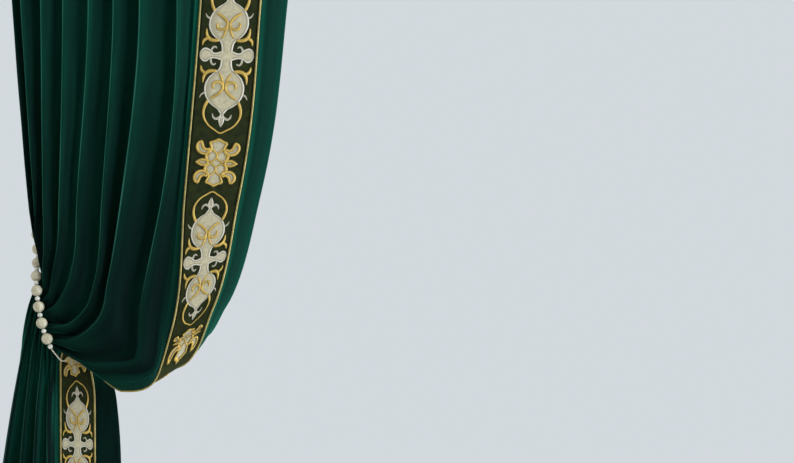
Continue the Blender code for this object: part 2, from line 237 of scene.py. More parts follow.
# Beads: the rings and sides of a small and of a large one, the rounding of the bore's mouth, the
# lathe lines' depth as a share of the radius and their place and width as angles, and how far
# apart in the grain two beads are read.
BEAD_GRIDS = ((16, 22), (26, 32))
MOUTH = 0.0006
LATHE_DEPTH = 0.004
LATHE_AT = 0.32
LATHE_WIDTH = 0.035
GRAIN_APART = 0.1

# ---- embroidery ----
# Shapes are rows of (across, along, half width) in millimetres from a motif's centre, along
# pointing down the border. Every motif is the same on its left and right, and above and below
# its centre, so only a quarter or a half is written.

BORDER_WIDTH = 147.0
HALF_REPEAT = 269.0

# Where each half repeat lies down the border, in metres from the top edge.
PATTERN = (
    (-5, -0.179), (-4, 0.090), (-3, 0.359), (-2, 0.628), (-1, 0.897), (0, 1.166), (1, 1.4346),
    (2, 1.683), (2.77, 1.8575), (3.23, 1.948), (3.285, 1.986), (4, 2.115), (5, 2.312),
    (6, 2.5335), (7, 2.725),
)
MEDALLIONS = (-4, -2, 0, 2, 4, 6)
PLAQUES = (-3, -1, 1, 3, 5)

LOBE = (
    (0, -143, 5.5), (0, -140, 7.9), (0, -133, 13), (0, -125, 26), (0, -114, 38), (0, -98, 46.5),
    (0, -82, 49), (0, -70, 47.5), (0, -56, 41), (0, -46, 32), (0, -38, 21.5), (0, -28, 15.5),
    (0, -14, 13.5), (0, 0, 14),
)
ARM = (
    (6, 0, 12), (14, 0, 11.5), (22, 0, 8.5), (30, 0, 7), (37, -1, 9), (44, -2, 14.5),
    (51, -2, 17.8), (57, -2, 17.2), (62, -2, 13), (65, -2, 8), (66.5, -2, 3),
)
CURL = ((-38, -8, 2.2), (-38, -15, 2.3), (-34, -21.5, 2.2), (-28.5, -22.5, 1.8), (-25.5, -18.5, 1.0))
THORN = ((-43, -94, 2.6), (-50, -95.5, 2.2), (-55, -99.5, 1.6), (-58.5, -107, 0.7))
FLEUR = ((0, -140, 5.0), (0, -147, 4.2), (0, -153, 5.6), (0, -160, 7.2), (0, -168, 5.2), (0, -177, 0.8))
BARB = ((-1, -150, 3.0), (-8, -155.5, 3.0), (-15, -157.5, 2.6), (-21, -153, 2.0), (-23.5, -145, 0.9))

LOOP = (
    (-37, -113.5, 4.4), (-40.5, -120, 4.6), (-45, -133, 4.0), (-45.5, -147, 3.4), (-41, -161, 2.8),
    (-30, -175, 2.5), (-15, -185, 2.4), (0, -192.5, 2.4),
)
SCROLL = (
    (-31, -107, 2.8), (-22, -102, 4.0), (-13, -95, 4.2), (-6, -87, 4.1), (-3, -79, 3.8),
    (-6.5, -70.5, 3.8), (-13, -66, 4.0), (-21, -66, 4.2), (-27, -71, 3.9), (-28, -79, 3.0),
    (-24, -84, 1.4),
)
BRANCH = ((-2.4, -80, 2.0), (-3.5, -70, 3.2), (-6.5, -60, 3.5), (-10.5, -51, 3.3), (-16, -43, 1.8))
HORN_STEM = (
    (-22, -39, 4.2), (-33, -38.5, 5.2), (-43, -41, 5.6), (-50, -48, 4.8), (-53, -58, 3.4),
    (-53.5, -69, 1.0),
)
HORN_SPUR = ((-46, -45, 3.8), (-54, -42, 4.7), (-59.5, -36, 3.8), (-61.5, -26, 1.2))

PLAQUE = (
    (0, -61, 1.5), (0, -57, 8), (0, -53.5, 16), (0, -51.5, 22), (0, -48, 21.5), (0, -41, 18.5),
    (0, -35, 17.5), (0, -29, 22), (0, -23, 28), (0, -17, 30), (0, -10, 28.5), (0, -4, 25), (0, 0, 24),
)
PLAQUE_LEAF = ((20, 0, 6.5), (29, 0, 8), (37, 0, 8.6), (44, 0, 6.0), (51.5, 0, 1.0))
PLAQUE_COMMA = (
    (-18, -33, 5.0), (-25, -29, 6.5), (-33, -28, 8.0), (-41, -31.5, 9.2), (-45.5, -38.5, 9.4),
    (-45.5, -45.5, 8.0), (-44, -50.5, 4.5), (-43.5, -52.5, 1.5),
)
PLAQUE_RING = (
    (-15.5, -44, 2.0), (-14.5, -35, 2.8), (-7, -29, 3.1), (0.3, -19, 3.1), (-4, -8.5, 3.1),
    (-13.5, -3, 3.1), (-23, -7, 3.1), (-27, -17, 3.1), (-24, -27.5, 3.1), (-14.5, -34, 2.4),
)
PLAQUE_CURL = ((-27, -13, 1.4), (-22.5, -16.5, 2.0), (-20.5, -21.5, 1.8), (-23, -24, 0.8))

# Cross-sections. A fill has a corded edge, a groove inside it and a padded middle: distances in
# from its edge and heights above the ribbon, in millimetres, with a mark that is 1 on the cord
# and -1 in the groove, where it paints shade. The padding's points are shares of the groove's
# distance from the middle.
# A fill narrower than its edges need is drawn together, and a thin one is lower.
FILL_EDGE = ((0.0, 0.15), (0.8, 1.15), (2.4, 1.5), (4.0, 1.1), (4.8, 0.5), (6.0, 0.85))
RIM_MARK = (1, 1, 1, 0.2, -1, -0.3)
FILL_PADDING = (0.66, 0.33, 0.0)
FILL_MIDDLE = 1.15
FILL_SPARE = 1.5
FILL_THIN = 2.2

# Where the parts of a medallion run into each other: an axis, two distances along it from the
# centre, and the height there.
BODY_JOIN = (1, 7, 13, 1.15)
ARM_JOIN = (0, 12, 17, 0.85)

# A gold cord is half round. Its points over the top, its height as a share of its half width,
# the length of one turn of its ply, the depth of the ply's groove as a share, and how far it is
# sunk into a fill.
CORD_SIDES_UP = 7
CORD_RISE = 0.9
GOLD_PLY = 3.4
PLY_DEPTH = 0.16
CORD_SUNK = 0.4

# How far a plaque's gold outline reaches past its fill, and the half widths round the body and
# round the leaves.
OUTLINE_OUT = 2.0
BODY_OUTLINE = 3.6
ARM_OUTLINE = 4.1

# Where the stitching starts, inside the ribbon; the distance between two rings of a shape; how
# many points its curve has for each row of its table; and the margin that it keeps from the
# border's top edge, in metres.
SUNK = -0.3
STITCH_STEP = 2.0
SHAPE_SAMPLES = 12
TOP_MARGIN = 0.008

# ---- stage ----
# The floor, then what the camera frames on the drape's plane: its middle (x, z), its width and
# from how far.

FLOOR_Z = -2.69
FLOOR_RADIUS = 4.0
FRAME_CENTRE = (0.6225, -1.60375)
FRAME_WIDTH = 1.985
CAMERA_DISTANCE = 9.0
SKY_STRENGTH = 0.82

# The lamps: place, what each one is aimed at, size, power and colour.
LAMPS = {
    "window": ((2.3, -0.5, -1.2), (0.2, 0, -1.5), (2.2, 2.4), 150, "#f4f9ff"),
    "front": ((-2.4, -1.4, 0.4), (-0.1, 0, -1.4), (1.6, 2.0), 50, "#fff8ee"),
}

# ---- the cloth's surface ----


def metres(values):
    return np.asarray(values, float) / 1000


def smooth(knots, values, at):
    """Values read at `at` from a cubic Hermite curve through (knots, values).

    Its slope at an inner knot is the mean of the two sides' slopes, weighted by the far side's
    length. It is kept under three times the gentler of them, and is 0 where they differ in
    sign, so that the curve never overshoots a value. values may have more axes.
    """
    knots = np.asarray(knots, float)
    values = np.asarray(values, float)
    step = np.diff(knots).reshape((-1,) + (1,) * (values.ndim - 1))
    slope = np.diff(values, axis=0) / step
    before, after = slope[:-1], slope[1:]
    mean = (before * step[1:] + after * step[:-1]) / (step[:-1] + step[1:])
    most = 3 * np.minimum(abs(before), abs(after)) * (before * after > 0)
    tangent = np.concatenate([slope[:1], np.clip(mean, -most, most), slope[-1:]])
    at = np.asarray(at, float)
    span = np.clip(np.searchsorted(knots, at, side="right") - 1, 0, len(knots) - 2)
    local_shape = at.shape + (1,) * (values.ndim - 1)
    width = (knots[span + 1] - knots[span]).reshape(local_shape)
    w = (at - knots[span]).reshape(local_shape) / width
    return (
        values[span] * (1 + 2 * w) * (1 - w) ** 2
        + values[span + 1] * w**2 * (3 - 2 * w)
        + tangent[span] * width * w * (1 - w) ** 2
        + tangent[span + 1] * width * w**2 * (w - 1)
    )


def ease(value, start, end):
    """0 up to start and 1 from end, smooth between them."""
    w = np.clip((value - start) / (end - start), 0, 1)
    return w * w * (3 - 2 * w)


def column(name):
    """One measure of every guide thread, in metres."""
    return metres([getattr(guide, name) for guide in GUIDES])


GUIDE_U = np.array([guide.u for guide in GUIDES])


def guide_stations():
    """The guide threads' points at every station, as (station, guide, xyz)."""
    level = np.zeros(len(GUIDES))
    straight = {"head_x": 0, "chest_x": CHEST_Z, "rib_x": RIB_Z}
    points = [(column(name), level, level + z) for name, z in straight.items()]
    for station in ("knee", "turn", "under", "waist"):
        points.append([column(f"{station}_{axis}") for axis in "xyz"])
    points.append((column("below_x"), column("below_y"), column("waist_z") - BELOW))
    points.append((column("tail_x"), column("tail_y"), level + TAIL_Z))
    return np.array(points).transpose(0, 2, 1)


def thread_knots(points):
    """The value of t at each station: the mean length of the guide threads up to there."""
    chords = np.linalg.norm(np.diff(points, axis=0), axis=2).mean(axis=1)
    return np.concatenate([[0], np.cumsum(chords)])


def with_hem(points):
    """Adds the hem. Every thread is CUT_LENGTH long, so one that swings further ends higher."""
    knots = thread_knots(points)
    fine = smooth(knots, points, np.linspace(0, knots[-1], THREAD_SAMPLES))
    used = np.linalg.norm(np.diff(fine, axis=0), axis=2).sum(axis=0)
    left = CUT_LENGTH - used
    flare = column("flare")
    hem = points[-1].copy()
    hem[:, 0] += flare * left
    hem[:, 2] -= np.sqrt(1 - flare**2) * left
    return np.concatenate([points, hem[None]])


CONTROL = with_hem(guide_stations())
KNOTS = thread_knots(CONTROL)

# The values of t at the stations, in the order of the guides' table, and at the hem.
HEAD, CHEST, RIB, KNEE, TURN, UNDER, WAIST, UNDER_TIE, TAIL, HEM = KNOTS


def base_points(u, t):
    """The cloth without its pleats, as (t, u, xyz)."""
    threads = smooth(GUIDE_U, CONTROL.transpose(1, 0, 2), u).transpose(1, 0, 2)
    return smooth(KNOTS, threads, t)


def unit(vectors):
    """Vectors divided by their lengths."""
    return vectors / np.linalg.norm(vectors, axis=-1, keepdims=True)


def base_normals(u, t):
    """The base's normals, pointing to the room, from short steps across it and down it."""
    across = base_points(u + STEP, t) - base_points(u - STEP, t)
    down = base_points(u, t + STEP) - base_points(u, t - STEP)
    return unit(np.cross(down, across))


def line_directions(points, axis):
    """Directions along a grid's lines: at each point, the mean of the chords on its two sides."""
    chords = np.moveaxis(unit(np.diff(points, axis=axis)), axis, 0)
    both = np.concatenate([chords[:1], chords[:-1] + chords[1:], chords[-1:]])
    return np.moveaxis(both, 0, axis)


def grid_normals(points):
    """A grid's normals, pointing to the room, from its own lines."""
    return unit(np.cross(line_directions(points, 0), line_directions(points, 1)))


def folds(u, t, width):
    """1 on a ridge and -1 in a trough, as (t, u), for folds `width` pleats wide.

    A fold falls slowly from its ridge to the trough that lies just before the next ridge, and
    its ridge is broader than its trough.
    """
    run = np.mod((u - RIDGE_AT) / width, 1)[None, :]
    trough = smooth(KNOTS, TROUGH_AT, t)[:, None]
    fall, rise = run / trough, 1 + (run - trough) / (1 - trough)
    phase = np.pi * np.where(run < trough, fall, rise)
    return np.cos(phase) + BROADEN * (1 - np.cos(2 * phase))


def in_tail(t):
    """0 down to the waist, and 1 from the tail station on, where two pleats make one fold."""
    return ease(t, WAIST, TAIL)[:, None]


def pleat_wave(u, t):
    """The pleats' wave, which dies out after the last ridge, so that the border lies flat."""
    wave = folds(u, t, 1) * (1 - in_tail(t)) + folds(u, t, 2) * in_tail(t)
    return wave * (1 - ease(u, *WAVE_FADE))


def pleat_depth(u, t):
    """Half the depth of the pleats: the depth at t times each pleat's fullness there."""
    top, swag, tail = TOP_FULLNESS, SWAG_FULLNESS, TAIL_FULLNESS
    stations = (HEAD, RIB, TURN, WAIST, TAIL, HEM)
    fullness = smooth(stations, (top, top, swag, swag, tail, tail), t)
    at = np.clip(u - RIDGE_AT, 0, PLEATS - 1)
    return smooth(KNOTS, PLEAT_DEPTH, t)[:, None] * smooth(np.arange(PLEATS), fullness.T, at).T


def run_along(points):
    """How far along its line each point is. A line is the last axis but one."""
    steps = np.linalg.norm(np.diff(points, axis=-2), axis=-1)
    return np.concatenate([0 * steps[..., :1], np.cumsum(steps, axis=-1)], axis=-1)


def curve_through(points, count):
    """Evenly numbered points on a smooth curve through the ones given (Catmull-Rom)."""
    points = np.asarray(points, float)
    ends = np.concatenate([2 * points[:1] - points[1:2], points, 2 * points[-1:] - points[-2:-1]])
    at = np.linspace(0, len(points) - 1, count)
    span = np.minimum(at.astype(int), len(points) - 2)
    w = (at - span)[:, None]
    a, b, c, d = (ends[span + i] for i in range(4))
    line = 2 * b + (c - a) * w
    return 0.5 * (line + (2 * a - 5 * b + 4 * c - d) * w**2 + (3 * b - 3 * c + d - a) * w**3)


def even_path(points, spacing):
    """The same curve with points at an even distance."""
    run = run_along(points)
    at = np.linspace(0, run[-1], max(2, int(run[-1] / spacing) + 1))
    return np.stack([np.interp(at, run, values) for values in points.T], axis=1)


def bead_joints(large, small):
    """The points where the beads meet, walking up the front strand from its lower end."""
    route = curve_through(metres(FRONT_STRAND)[::-1], STRAND_SAMPLES)
    lengths = [small, large] * BEAD_PAIRS + [small]
    joints, start = [route[0]], 0
    for length in lengths:
        reach = np.linalg.norm(route[start:] - joints[-1], axis=1)
        start += int(np.argmax(reach >= length + BEAD_GAP))
        joints.append(route[start])
    return np.array(joints), lengths


def place_along(points, start, end):
    """Turns points so that their own Z axis runs from start to end, centred between them."""
    along = unit(end - start)
    side = unit(np.cross(along, np.array([0.0, 1.0, 0.0])))
    up = np.cross(along, side)
    return (start + end) / 2 + points @ np.array([side, up, along])


# ---- meshes ----


def linear(colour):
    """Linear RGB of an sRGB hex colour."""
    values = np.array([int(colour[i : i + 2], 16) for i in (1, 3, 5)]) / 255
    low, high = values / 12.92, ((values + 0.055) / 1.055) ** 2.4
    return tuple(float(v) for v in np.where(values <= 0.04045, low, high))


def sheet_quads(rows, columns):
    """The quads of a closed sheet: a front grid, the same grid behind it, and the rim."""
    index = np.arange(rows * columns).reshape(rows, columns)
    corners = index[:-1, :-1], index[1:, :-1], index[1:, 1:], index[:-1, 1:]
    front = np.stack(corners, axis=-1).reshape(-1, 4)
    rim = np.concatenate([index[0, :-1], index[:-1, -1], index[-1, :0:-1], index[:0:-1, 0]])
    ahead, behind = np.roll(rim, -1), rows * columns
    wall = np.stack([rim, ahead, ahead + behind, rim + behind], axis=1)
    return front, front[:, ::-1] + behind, wall


def ring_quads(rings, sides, closed=False):
    """Quads between rings of points; closed joins the last ring to the first."""
    index = np.arange(rings * sides).reshape(rings, sides)
    if closed:
        index = np.concatenate([index, index[:1]])
    wrapped = np.concatenate([index, index[:, :1]], axis=1)
    corners = wrapped[:-1, :-1], wrapped[:-1, 1:], wrapped[1:, 1:], wrapped[1:, :-1]
    return np.stack(corners, axis=-1).reshape(-1, 4).tolist()


def capped_tube(rings, sides):
    """The faces of a tube of rings with a flat face at each end."""
    ends = [list(range(sides))[::-1], list(range((rings - 1) * sides, rings * sides))]
    return ring_quads(rings, sides) + ends


def outward(points, faces):
    """The faces, turned round if they enclose a negative volume."""
    corners = points.reshape(-1, 3)[np.array([face for face in faces if len(face) == 4])]
    corners = corners - corners.mean(axis=(0, 1))
    first = (corners[:, 0] * np.cross(corners[:, 1], corners[:, 2])).sum()
    second = (corners[:, 0] * np.cross(corners[:, 2], corners[:, 3])).sum()
    return [face[::-1] for face in faces] if first + second < 0 else faces


def add_object(name, data):
    thing = bpy.data.objects.new(name, data)
    bpy.context.scene.collection.objects.link(thing)
    return thing


def new_piece(name, points, faces, materials, marks, patches=None):
    """A smooth mesh that rides on the body.

    marks are the attributes that its materials read, with one or three values a point, and
    patches gives each face's material.
    """
    mesh = bpy.data.meshes.new(name)
    mesh.from_pydata(np.asarray(points).reshape(-1, 3).tolist(), [], faces)
    for material in materials:
        mesh.materials.append(material)
    if patches is not None:
        mesh.polygons.foreach_set("material_index", np.asarray(patches, np.int32))
    for mark, values in marks.items():
        many = values.size > len(mesh.vertices)
        kind, field = ("FLOAT_VECTOR", "vector") if many else ("FLOAT", "value")
        layer = mesh.attributes.new(mark, kind, "POINT")
        layer.data.foreach_set(field, np.ascontiguousarray(values, np.float32).ravel())
    mesh.shade_smooth()
    mesh.update()
    piece = add_object(name, mesh)
    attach(piece, BODY)
    return piece


def sheet_piece(name, front, behind, materials, marks):
    """A closed sheet with the same marks on both sides; the last material is that of its back."""
    sides = sheet_quads(*front.shape[:2])
    patches = np.repeat([0, len(materials) - 1, 0], [len(quads) for quads in sides])
    marks = {mark: np.stack([values, values]) for mark, values in marks.items()}
    faces = np.concatenate(sides).tolist()
    return new_piece(name, [front, behind], faces, materials, marks, patches)


def rope_piece(name, path, out, diameter, lay, material, slot, closed=False):
    """A twisted rope: a circle with one lobe for each strand, turned once in each lay.

    The radius is R * (1 - g + g * |cos(strands * (angle - turn) / 2)|), with g the groove's
    depth. The mark "ply" is the height of the lobes. out is away from the rope's seat.
    """
    ahead = np.roll(path, -1, axis=0) - np.roll(path, 1, axis=0)
    along = unit(ahead if closed else np.gradient(path, axis=0))
    side = unit(np.cross(along, out))
    turns = run_along(path) / lay
    if closed:
        turns *= max(1, round(turns[-1])) / turns[-1]
    angle = 2 * np.pi * np.arange(ROPE_SIDES) / ROPE_SIDES
    lobe = abs(np.cos(STRANDS * (angle - 2 * np.pi * turns[:, None]) / 2))
    radius = diameter / 2 * (1 - ROPE_GROOVE + ROPE_GROOVE * lobe)
    across = np.cos(angle)[:, None] * side[:, None]
    around = across + np.sin(angle)[:, None] * np.cross(along, side)[:, None]
    rings = path[:, None] + radius[..., None] * around
    faces = ring_quads(*lobe.shape, closed=True) if closed else capped_tube(*lobe.shape)
    return new_piece(name, rings, outward(rings, faces), [material], {"ply": lobe})


class Shells:
    """Gathers closed shells, each with points, faces and marks, into one mesh."""

    def __init__(self):
        self.points, self.faces, self.marks, self.count = [], [], [], 0

    def add(self, points, faces, marks):
        faces = outward(points, faces)
        self.faces += [[corner + self.count for corner in face] for face in faces]
        self.points.append(points.reshape(-1, 3))
        self.marks.append(marks.reshape(len(self.points[-1]), -1))
        self.count += len(self.points[-1])

    def piece(self, name, material, slot, mark):
        points, marks = np.concatenate(self.points), {mark: np.concatenate(self.marks)}
        return new_piece(name, points, self.faces, [material], marks)


# ---- materials ----


def add_node(tree, kind, output, inputs=None, **settings):
    """Adds a shader node, sets its properties, sets or links its inputs, and returns an output."""
    node = tree.nodes.new("ShaderNode" + kind)
    for name, value in settings.items():
        setattr(node, name, value)
    for key, value in (inputs or {}).items():
        if isinstance(value, bpy.types.NodeSocket):
            tree.links.new(value, node.inputs[key])
        else:
            node.inputs[key].default_value = value
    return node.outputs[output]


def new_material(name, **settings):
    """A material with constants set on its shader, and add_node for its tree."""
    material = bpy.data.materials.new(name)
    material.use_nodes = True
    tree = material.node_tree
    for socket, value in settings.items():
        tree.nodes["Principled BSDF"].inputs[socket.replace("_", " ")].default_value = value
    return material, partial(add_node, tree)


def finished(material, links):
    """The material, with the links to its shader made."""
    tree = material.node_tree
    for socket, value in links.items():
        tree.links.new(value, tree.nodes["Principled BSDF"].inputs[socket])
    return material


def rgba(colour):
    """A colour as a shader's socket takes it."""
    return (*linear(colour), 1.0)


def cotton_velvet(colours):
    """Cotton velvet: a dense cut pile, dark where it is seen end on and bright at its edges.

    The pile lies in long soft streaks down the cloth and has a fine mottle from the tips of its
    tufts. The third value of the mark "nap" is the pile's painted light and shade; "crest" marks
    the crests of the folds, which get a painted highlight.
    """
    material, add = new_material(
        "cotton_velvet", Roughness=0.9, Specular_IOR_Level=0.04, Sheen_Weight=0.4,
        Sheen_Roughness=0.2, Sheen_Tint=colours.velvet_sheen,
    )
    nap = add("Attribute", "Vector", attribute_name="nap")
    painted_light = add("SeparateXYZ", "Z", {0: nap})
    drawn = add("Mapping", 0, {"Vector": nap, "Scale": (1.0, 0.12, 0.0)})
    # Streaks about 25 mm wide and 200 mm long.
    streak = add("TexNoise", "Fac", {"Vector": drawn, "Scale": 40.0, "Detail": 4.0})
    # Tufts are about 0.3 mm apart; they are drawn at 1.6 mm so that they show.
    tuft = add("TexNoise", "Fac", {"Vector": nap, "Scale": 620.0, "Detail": 3.0})
    streaked = add("Math", 0, {0: streak, 1: 0.07, 2: painted_light}, operation="MULTIPLY_ADD")
    lit = add("Math", 0, {0: tuft, 1: 0.026, 2: streaked}, operation="MULTIPLY_ADD")
    # From velvet_shade to velvet by the painted light and shade, with random streaks and tufts.
    colour = add("Mix", 2, {"Factor": lit, 6: colours.velvet_shade, 7: colours.velvet}, data_type="RGBA")
    # A painted highlight along the folds' crests, broken up by the streaks.
    crest = add("Attribute", "Fac", attribute_name="crest")
    span = {"Value": crest, 1: 0.0, 2: 1.0, 3: 0.0, 4: 0.95}
    line = add("MapRange", 0, span, interpolation_type="SMOOTHSTEP")
    worn = add("Math", 0, {0: line, 1: streak}, operation="MULTIPLY")
    colour = add("Mix", 2, {"Factor": worn, 6: colour, 7: colours.velvet_crest_highlight}, data_type="RGBA")
    bump = add("Bump", 0, {"Height": tuft, "Distance": 0.0006, "Strength": 0.6})
    return finished(material, {"Base Color": colour, "Normal": bump})


def velvet_back(colours):
    """The woven cotton ground on the back of the velvet: flat, matt and greyer than the pile."""
    material, add = new_material(
        "woven_velvet_back", Roughness=0.92, Specular_IOR_Level=0.2, Sheen_Weight=0.1
    )
    nap = add("Attribute", "Vector", attribute_name="nap")
    # A plain weave of 0.5 mm threads, drawn at 1.5 mm so that it shows.
    threads = {"Vector": nap, "Scale": 105.0, "Distortion": 0.6}
    warp = add("TexWave", "Fac", threads, bands_direction="X")
    weft = add("TexWave", "Fac", threads, bands_direction="Y")
    weave = add("Math", 0, {0: warp, 1: weft}, operation="MULTIPLY")
    slub = add("TexNoise", "Fac", {"Vector": nap, "Scale": 60.0, "Detail": 5.0})
    amount = add("Math", 0, {0: weave, 1: 0.5, 2: slub}, operation="MULTIPLY_ADD")
    colour = add("Mix", 2, {"Factor": amount, 6: colours.back_shade, 7: colours.back}, data_type="RGBA")
    bump = add("Bump", 0, {"Height": weave, "Distance": 0.0003, "Strength": 0.5})
    return finished(material, {"Base Color": colour, "Normal": bump})


def olive_ribbon(colours):
    """The border's ground: a short-pile olive ribbon, mottled where the pile leans."""
    material, add = new_material(
        "olive_pile_ribbon", Roughness=0.88, Specular_IOR_Level=0.08, Sheen_Weight=0.18,
        Sheen_Roughness=0.5, Sheen_Tint=rgba("#7a8048"),
    )
    nap = add("Attribute", "Vector", attribute_name="nap")
    lean = add("TexNoise", "Fac", {"Vector": nap, "Scale": 55.0, "Detail": 5.0})
    tuft = add("TexNoise", "Fac", {"Vector": nap, "Scale": 700.0, "Detail": 3.0})
    # Ribs across the ribbon, 2 mm apart.
    ribs = {"Vector": nap, "Scale": 79.0, "Distortion": 1.5, "Detail": 2.0}
    rib = add("TexWave", "Fac", ribs, bands_direction="Y")
    height = add("Math", 0, {0: rib, 1: 0.35, 2: tuft}, operation="MULTIPLY_ADD")
    amount = add("Math", 0, {0: height, 1: 0.35, 2: lean}, operation="MULTIPLY_ADD")
    spread = add("MapRange", 0, {"Value": amount, 1: 0.45, 2: 0.95, 3: 0.0, 4: 1.0})
    ends = {"Factor": spread, 6: colours.border_shade, 7: colours.border}
    colour = add("Mix", 2, ends, data_type="RGBA")
    bump = add("Bump", 0, {"Height": height, "Distance": 0.0005, "Strength": 0.6})
    return finished(material, {"Base Color": colour, "Normal": bump})


def satin_thread(colours):
    """Rayon embroidery floss in satin stitch: close parallel threads with a soft gleam.

    The mark holds how far across the stitch, how far along the shape, and how near its corded
    edge a point is, so the threads run across every shape, the edge has the rim's colour and the
    groove inside it painted shade.
    """
    material, add = new_material(
        "rayon_satin_stitch", Roughness=0.5, Specular_IOR_Level=0.4, Sheen_Weight=0.25,
        Sheen_Roughness=0.4, Sheen_Tint=rgba("#fff6e0"),
    )
    stitch = add("Attribute", "Vector", attribute_name="stitch")
    edge = add("SeparateXYZ", "Z", {0: stitch})
    flat = add("Mapping", 0, {"Vector": stitch, "Scale": (0.15, 1.0, 0.0)})
    # Threads lie 0.4 mm apart; they are drawn 1 mm apart so that they show.
    threads = {"Vector": flat, "Scale": 157.0, "Distortion": 2.0, "Detail": 2.0}
    thread = add("TexWave", "Fac", threads, bands_direction="Y")
    worn = add("TexNoise", "Fac", {"Vector": stitch, "Scale": 90.0, "Detail": 4.0})
    body = add("Math", 0, {0: thread, 1: 0.35, 2: worn}, operation="MULTIPLY_ADD")
    amount = add("MapRange", 0, {"Value": body, 1: 0.35, 2: 1.0, 3: 0.0, 4: 1.0})
    colour = add("Mix", 2, {"Factor": amount, 6: colours.satin_shade, 7: colours.satin}, data_type="RGBA")
    # Painted shade in the groove inside the rim, where the mark is below 0.
    groove = add("MapRange", 0, {"Value": edge, 1: 0.0, 2: -1.0, 3: 0.0, 4: 1.0})
    colour = add("Mix", 2, {"Factor": groove, 6: colour, 7: colours.satin_groove_shade}, data_type="RGBA")
    colour = add("Mix", 2, {"Factor": edge, 6: colour, 7: colours.satin_rim}, data_type="RGBA")
    bump = add("Bump", 0, {"Height": thread, "Distance": 0.0003, "Strength": 0.7})
    return finished(material, {"Base Color": colour, "Normal": bump})


def gold_thread(name, bright, deep, shine, glint_scale):
    """Gold lurex wound on a core: foil strips that glint, with painted shade between the turns.

    The mark is how high a point of the cord stands: its low places get painted shade.
    """
    material, add = new_material(
        name, Roughness=0.42, Metallic=shine, Sheen_Weight=0.2, Sheen_Tint=rgba("#ffe9b0")
    )
    place = add("TexCoord", "Object")
    ply = add("Attribute", "Fac", attribute_name="ply")
    glint = add("TexNoise", "Fac", {"Vector": place, "Scale": glint_scale, "Detail": 3.0})
    tone = add("TexNoise", "Fac", {"Vector": place, "Scale": 45.0, "Detail": 3.0})
    body = add("Math", 0, {0: glint, 1: 0.8, 2: tone}, operation="MULTIPLY_ADD")
    amount = add("MapRange", 0, {"Value": body, 1: 0.5, 2: 1.2, 3: 0.2, 4: 1.1})
    # Painted shade where the cord stands low: at its sides and between the turns of its ply.
    high = add("MapRange", 0, {"Value": ply, 1: 0.25, 2: 0.9, 3: 0.0, 4: 1.0})
    lit = add("Math", 0, {0: amount, 1: high}, operation="MULTIPLY")
    colour = add("Mix", 2, {"Factor": lit, 6: deep, 7: bright}, data_type="RGBA")
    rough = add("MapRange", 0, {"Value": glint, 1: 0.3, 2: 0.7, 3: 0.55, 4: 0.32})
    bump = add("Bump", 0, {"Height": glint, "Distance": 0.0004, "Strength": 0.6})
    return finished(material, {"Base Color": colour, "Roughness": rough, "Normal": bump})


def turned_wood(name, light, dark, gleam):
    """Bleached beech, turned and waxed: pale, with fine darker flecks along the grain.

    The mark is each point's place in its own bead, whose grain runs along its bore.
    """
    material, add = new_material(
        name, Roughness=0.5, Specular_IOR_Level=0.4, Coat_Weight=gleam, Coat_Roughness=0.35
    )
    turned = add("Attribute", "Vector", attribute_name="turned")
    drawn = add("Mapping", 0, {"Vector": turned, "Scale": (1.0, 1.0, 0.12)})
    # Flecks about 1.5 mm wide and 12 mm long.
    fleck = add("TexNoise", "Fac", {"Vector": drawn, "Scale": 600.0, "Detail": 4.0})
    ring = add("TexNoise", "Fac", {"Vector": drawn, "Scale": 150.0, "Detail": 2.0})
    body = add("Math", 0, {0: fleck, 1: 0.6, 2: ring}, operation="MULTIPLY_ADD")
    amount = add("MapRange", 0, {"Value": body, 1: 0.55, 2: 1.05, 3: 0.0, 4: 1.0})
    colour = add("Mix", 2, {"Factor": amount, 6: dark, 7: light}, data_type="RGBA")
    rough = add("MapRange", 0, {"Value": fleck, 1: 0.3, 2: 0.7, 3: 0.6, 4: 0.42})
    bump = add("Bump", 0, {"Height": fleck, "Distance": 0.0002, "Strength": 0.4})
    return finished(material, {"Base Color": colour, "Roughness": rough, "Normal": bump})


def cotton_cord(colours):
    """Unbleached cotton cord: matt, with short loose fibres, and painted shade between its strands."""
    material, add = new_material(
        "unbleached_cotton_cord", Roughness=0.95, Specular_IOR_Level=0.2, Sheen_Weight=0.3,
        Sheen_Roughness=0.5,
    )
    place = add("TexCoord", "Object")
    fibre = add("TexNoise", "Fac", {"Vector": place, "Scale": 900.0, "Detail": 4.0})
    ply = add("Attribute", "Fac", attribute_name="ply")
    # Painted shade between the strands, where the ply mark is low, with random fibres on top.
    body = add("Math", 0, {0: fibre, 1: 0.6, 2: ply}, operation="MULTIPLY_ADD")
    amount = add("MapRange", 0, {"Value": body, 1: 0.3, 2: 1.3, 3: 0.0, 4: 1.0})
    colour = add("Mix", 2, {"Factor": amount, 6: colours.cord_shade, 7: colours.cord}, data_type="RGBA")
    bump = add("Bump", 0, {"Height": fibre, "Distance": 0.0003, "Strength": 0.6})
    return finished(material, {"Base Color": colour, "Normal": bump})


# ---- cloth ----


def cloth_columns():
    """Values of u: fine over the pleats and beside the hems, coarser under the border."""
    turned = [*SIDE_HEM_COLUMNS, SIDE_HEM_FROM - SIDE_EASE, SIDE_HEM_FROM + SIDE_EASE]
    first = int(turned[-1] * COLUMNS_PER_PLEAT) + 1
    # A column lies on every crest line, so that the crests stay fine.
    crest_at = (RIDGE_AT - CREST_LEADS) * COLUMNS_PER_PLEAT % 1
    pleated = (np.arange(first, PLEATS * COLUMNS_PER_PLEAT) + crest_at) / COLUMNS_PER_PLEAT
    under = np.linspace(BAND_FROM, BAND_TO, UNDER_COLUMNS + 1)
    strip = np.linspace(BAND_TO, LEAD_HEM_FROM - LEAD_EASE, STRIP_COLUMNS)[1:]
    lead = [LEAD_HEM_FROM + LEAD_EASE, *LEAD_HEM_COLUMNS, LEAD]
    return np.concatenate([turned, pleated, under, strip, lead])


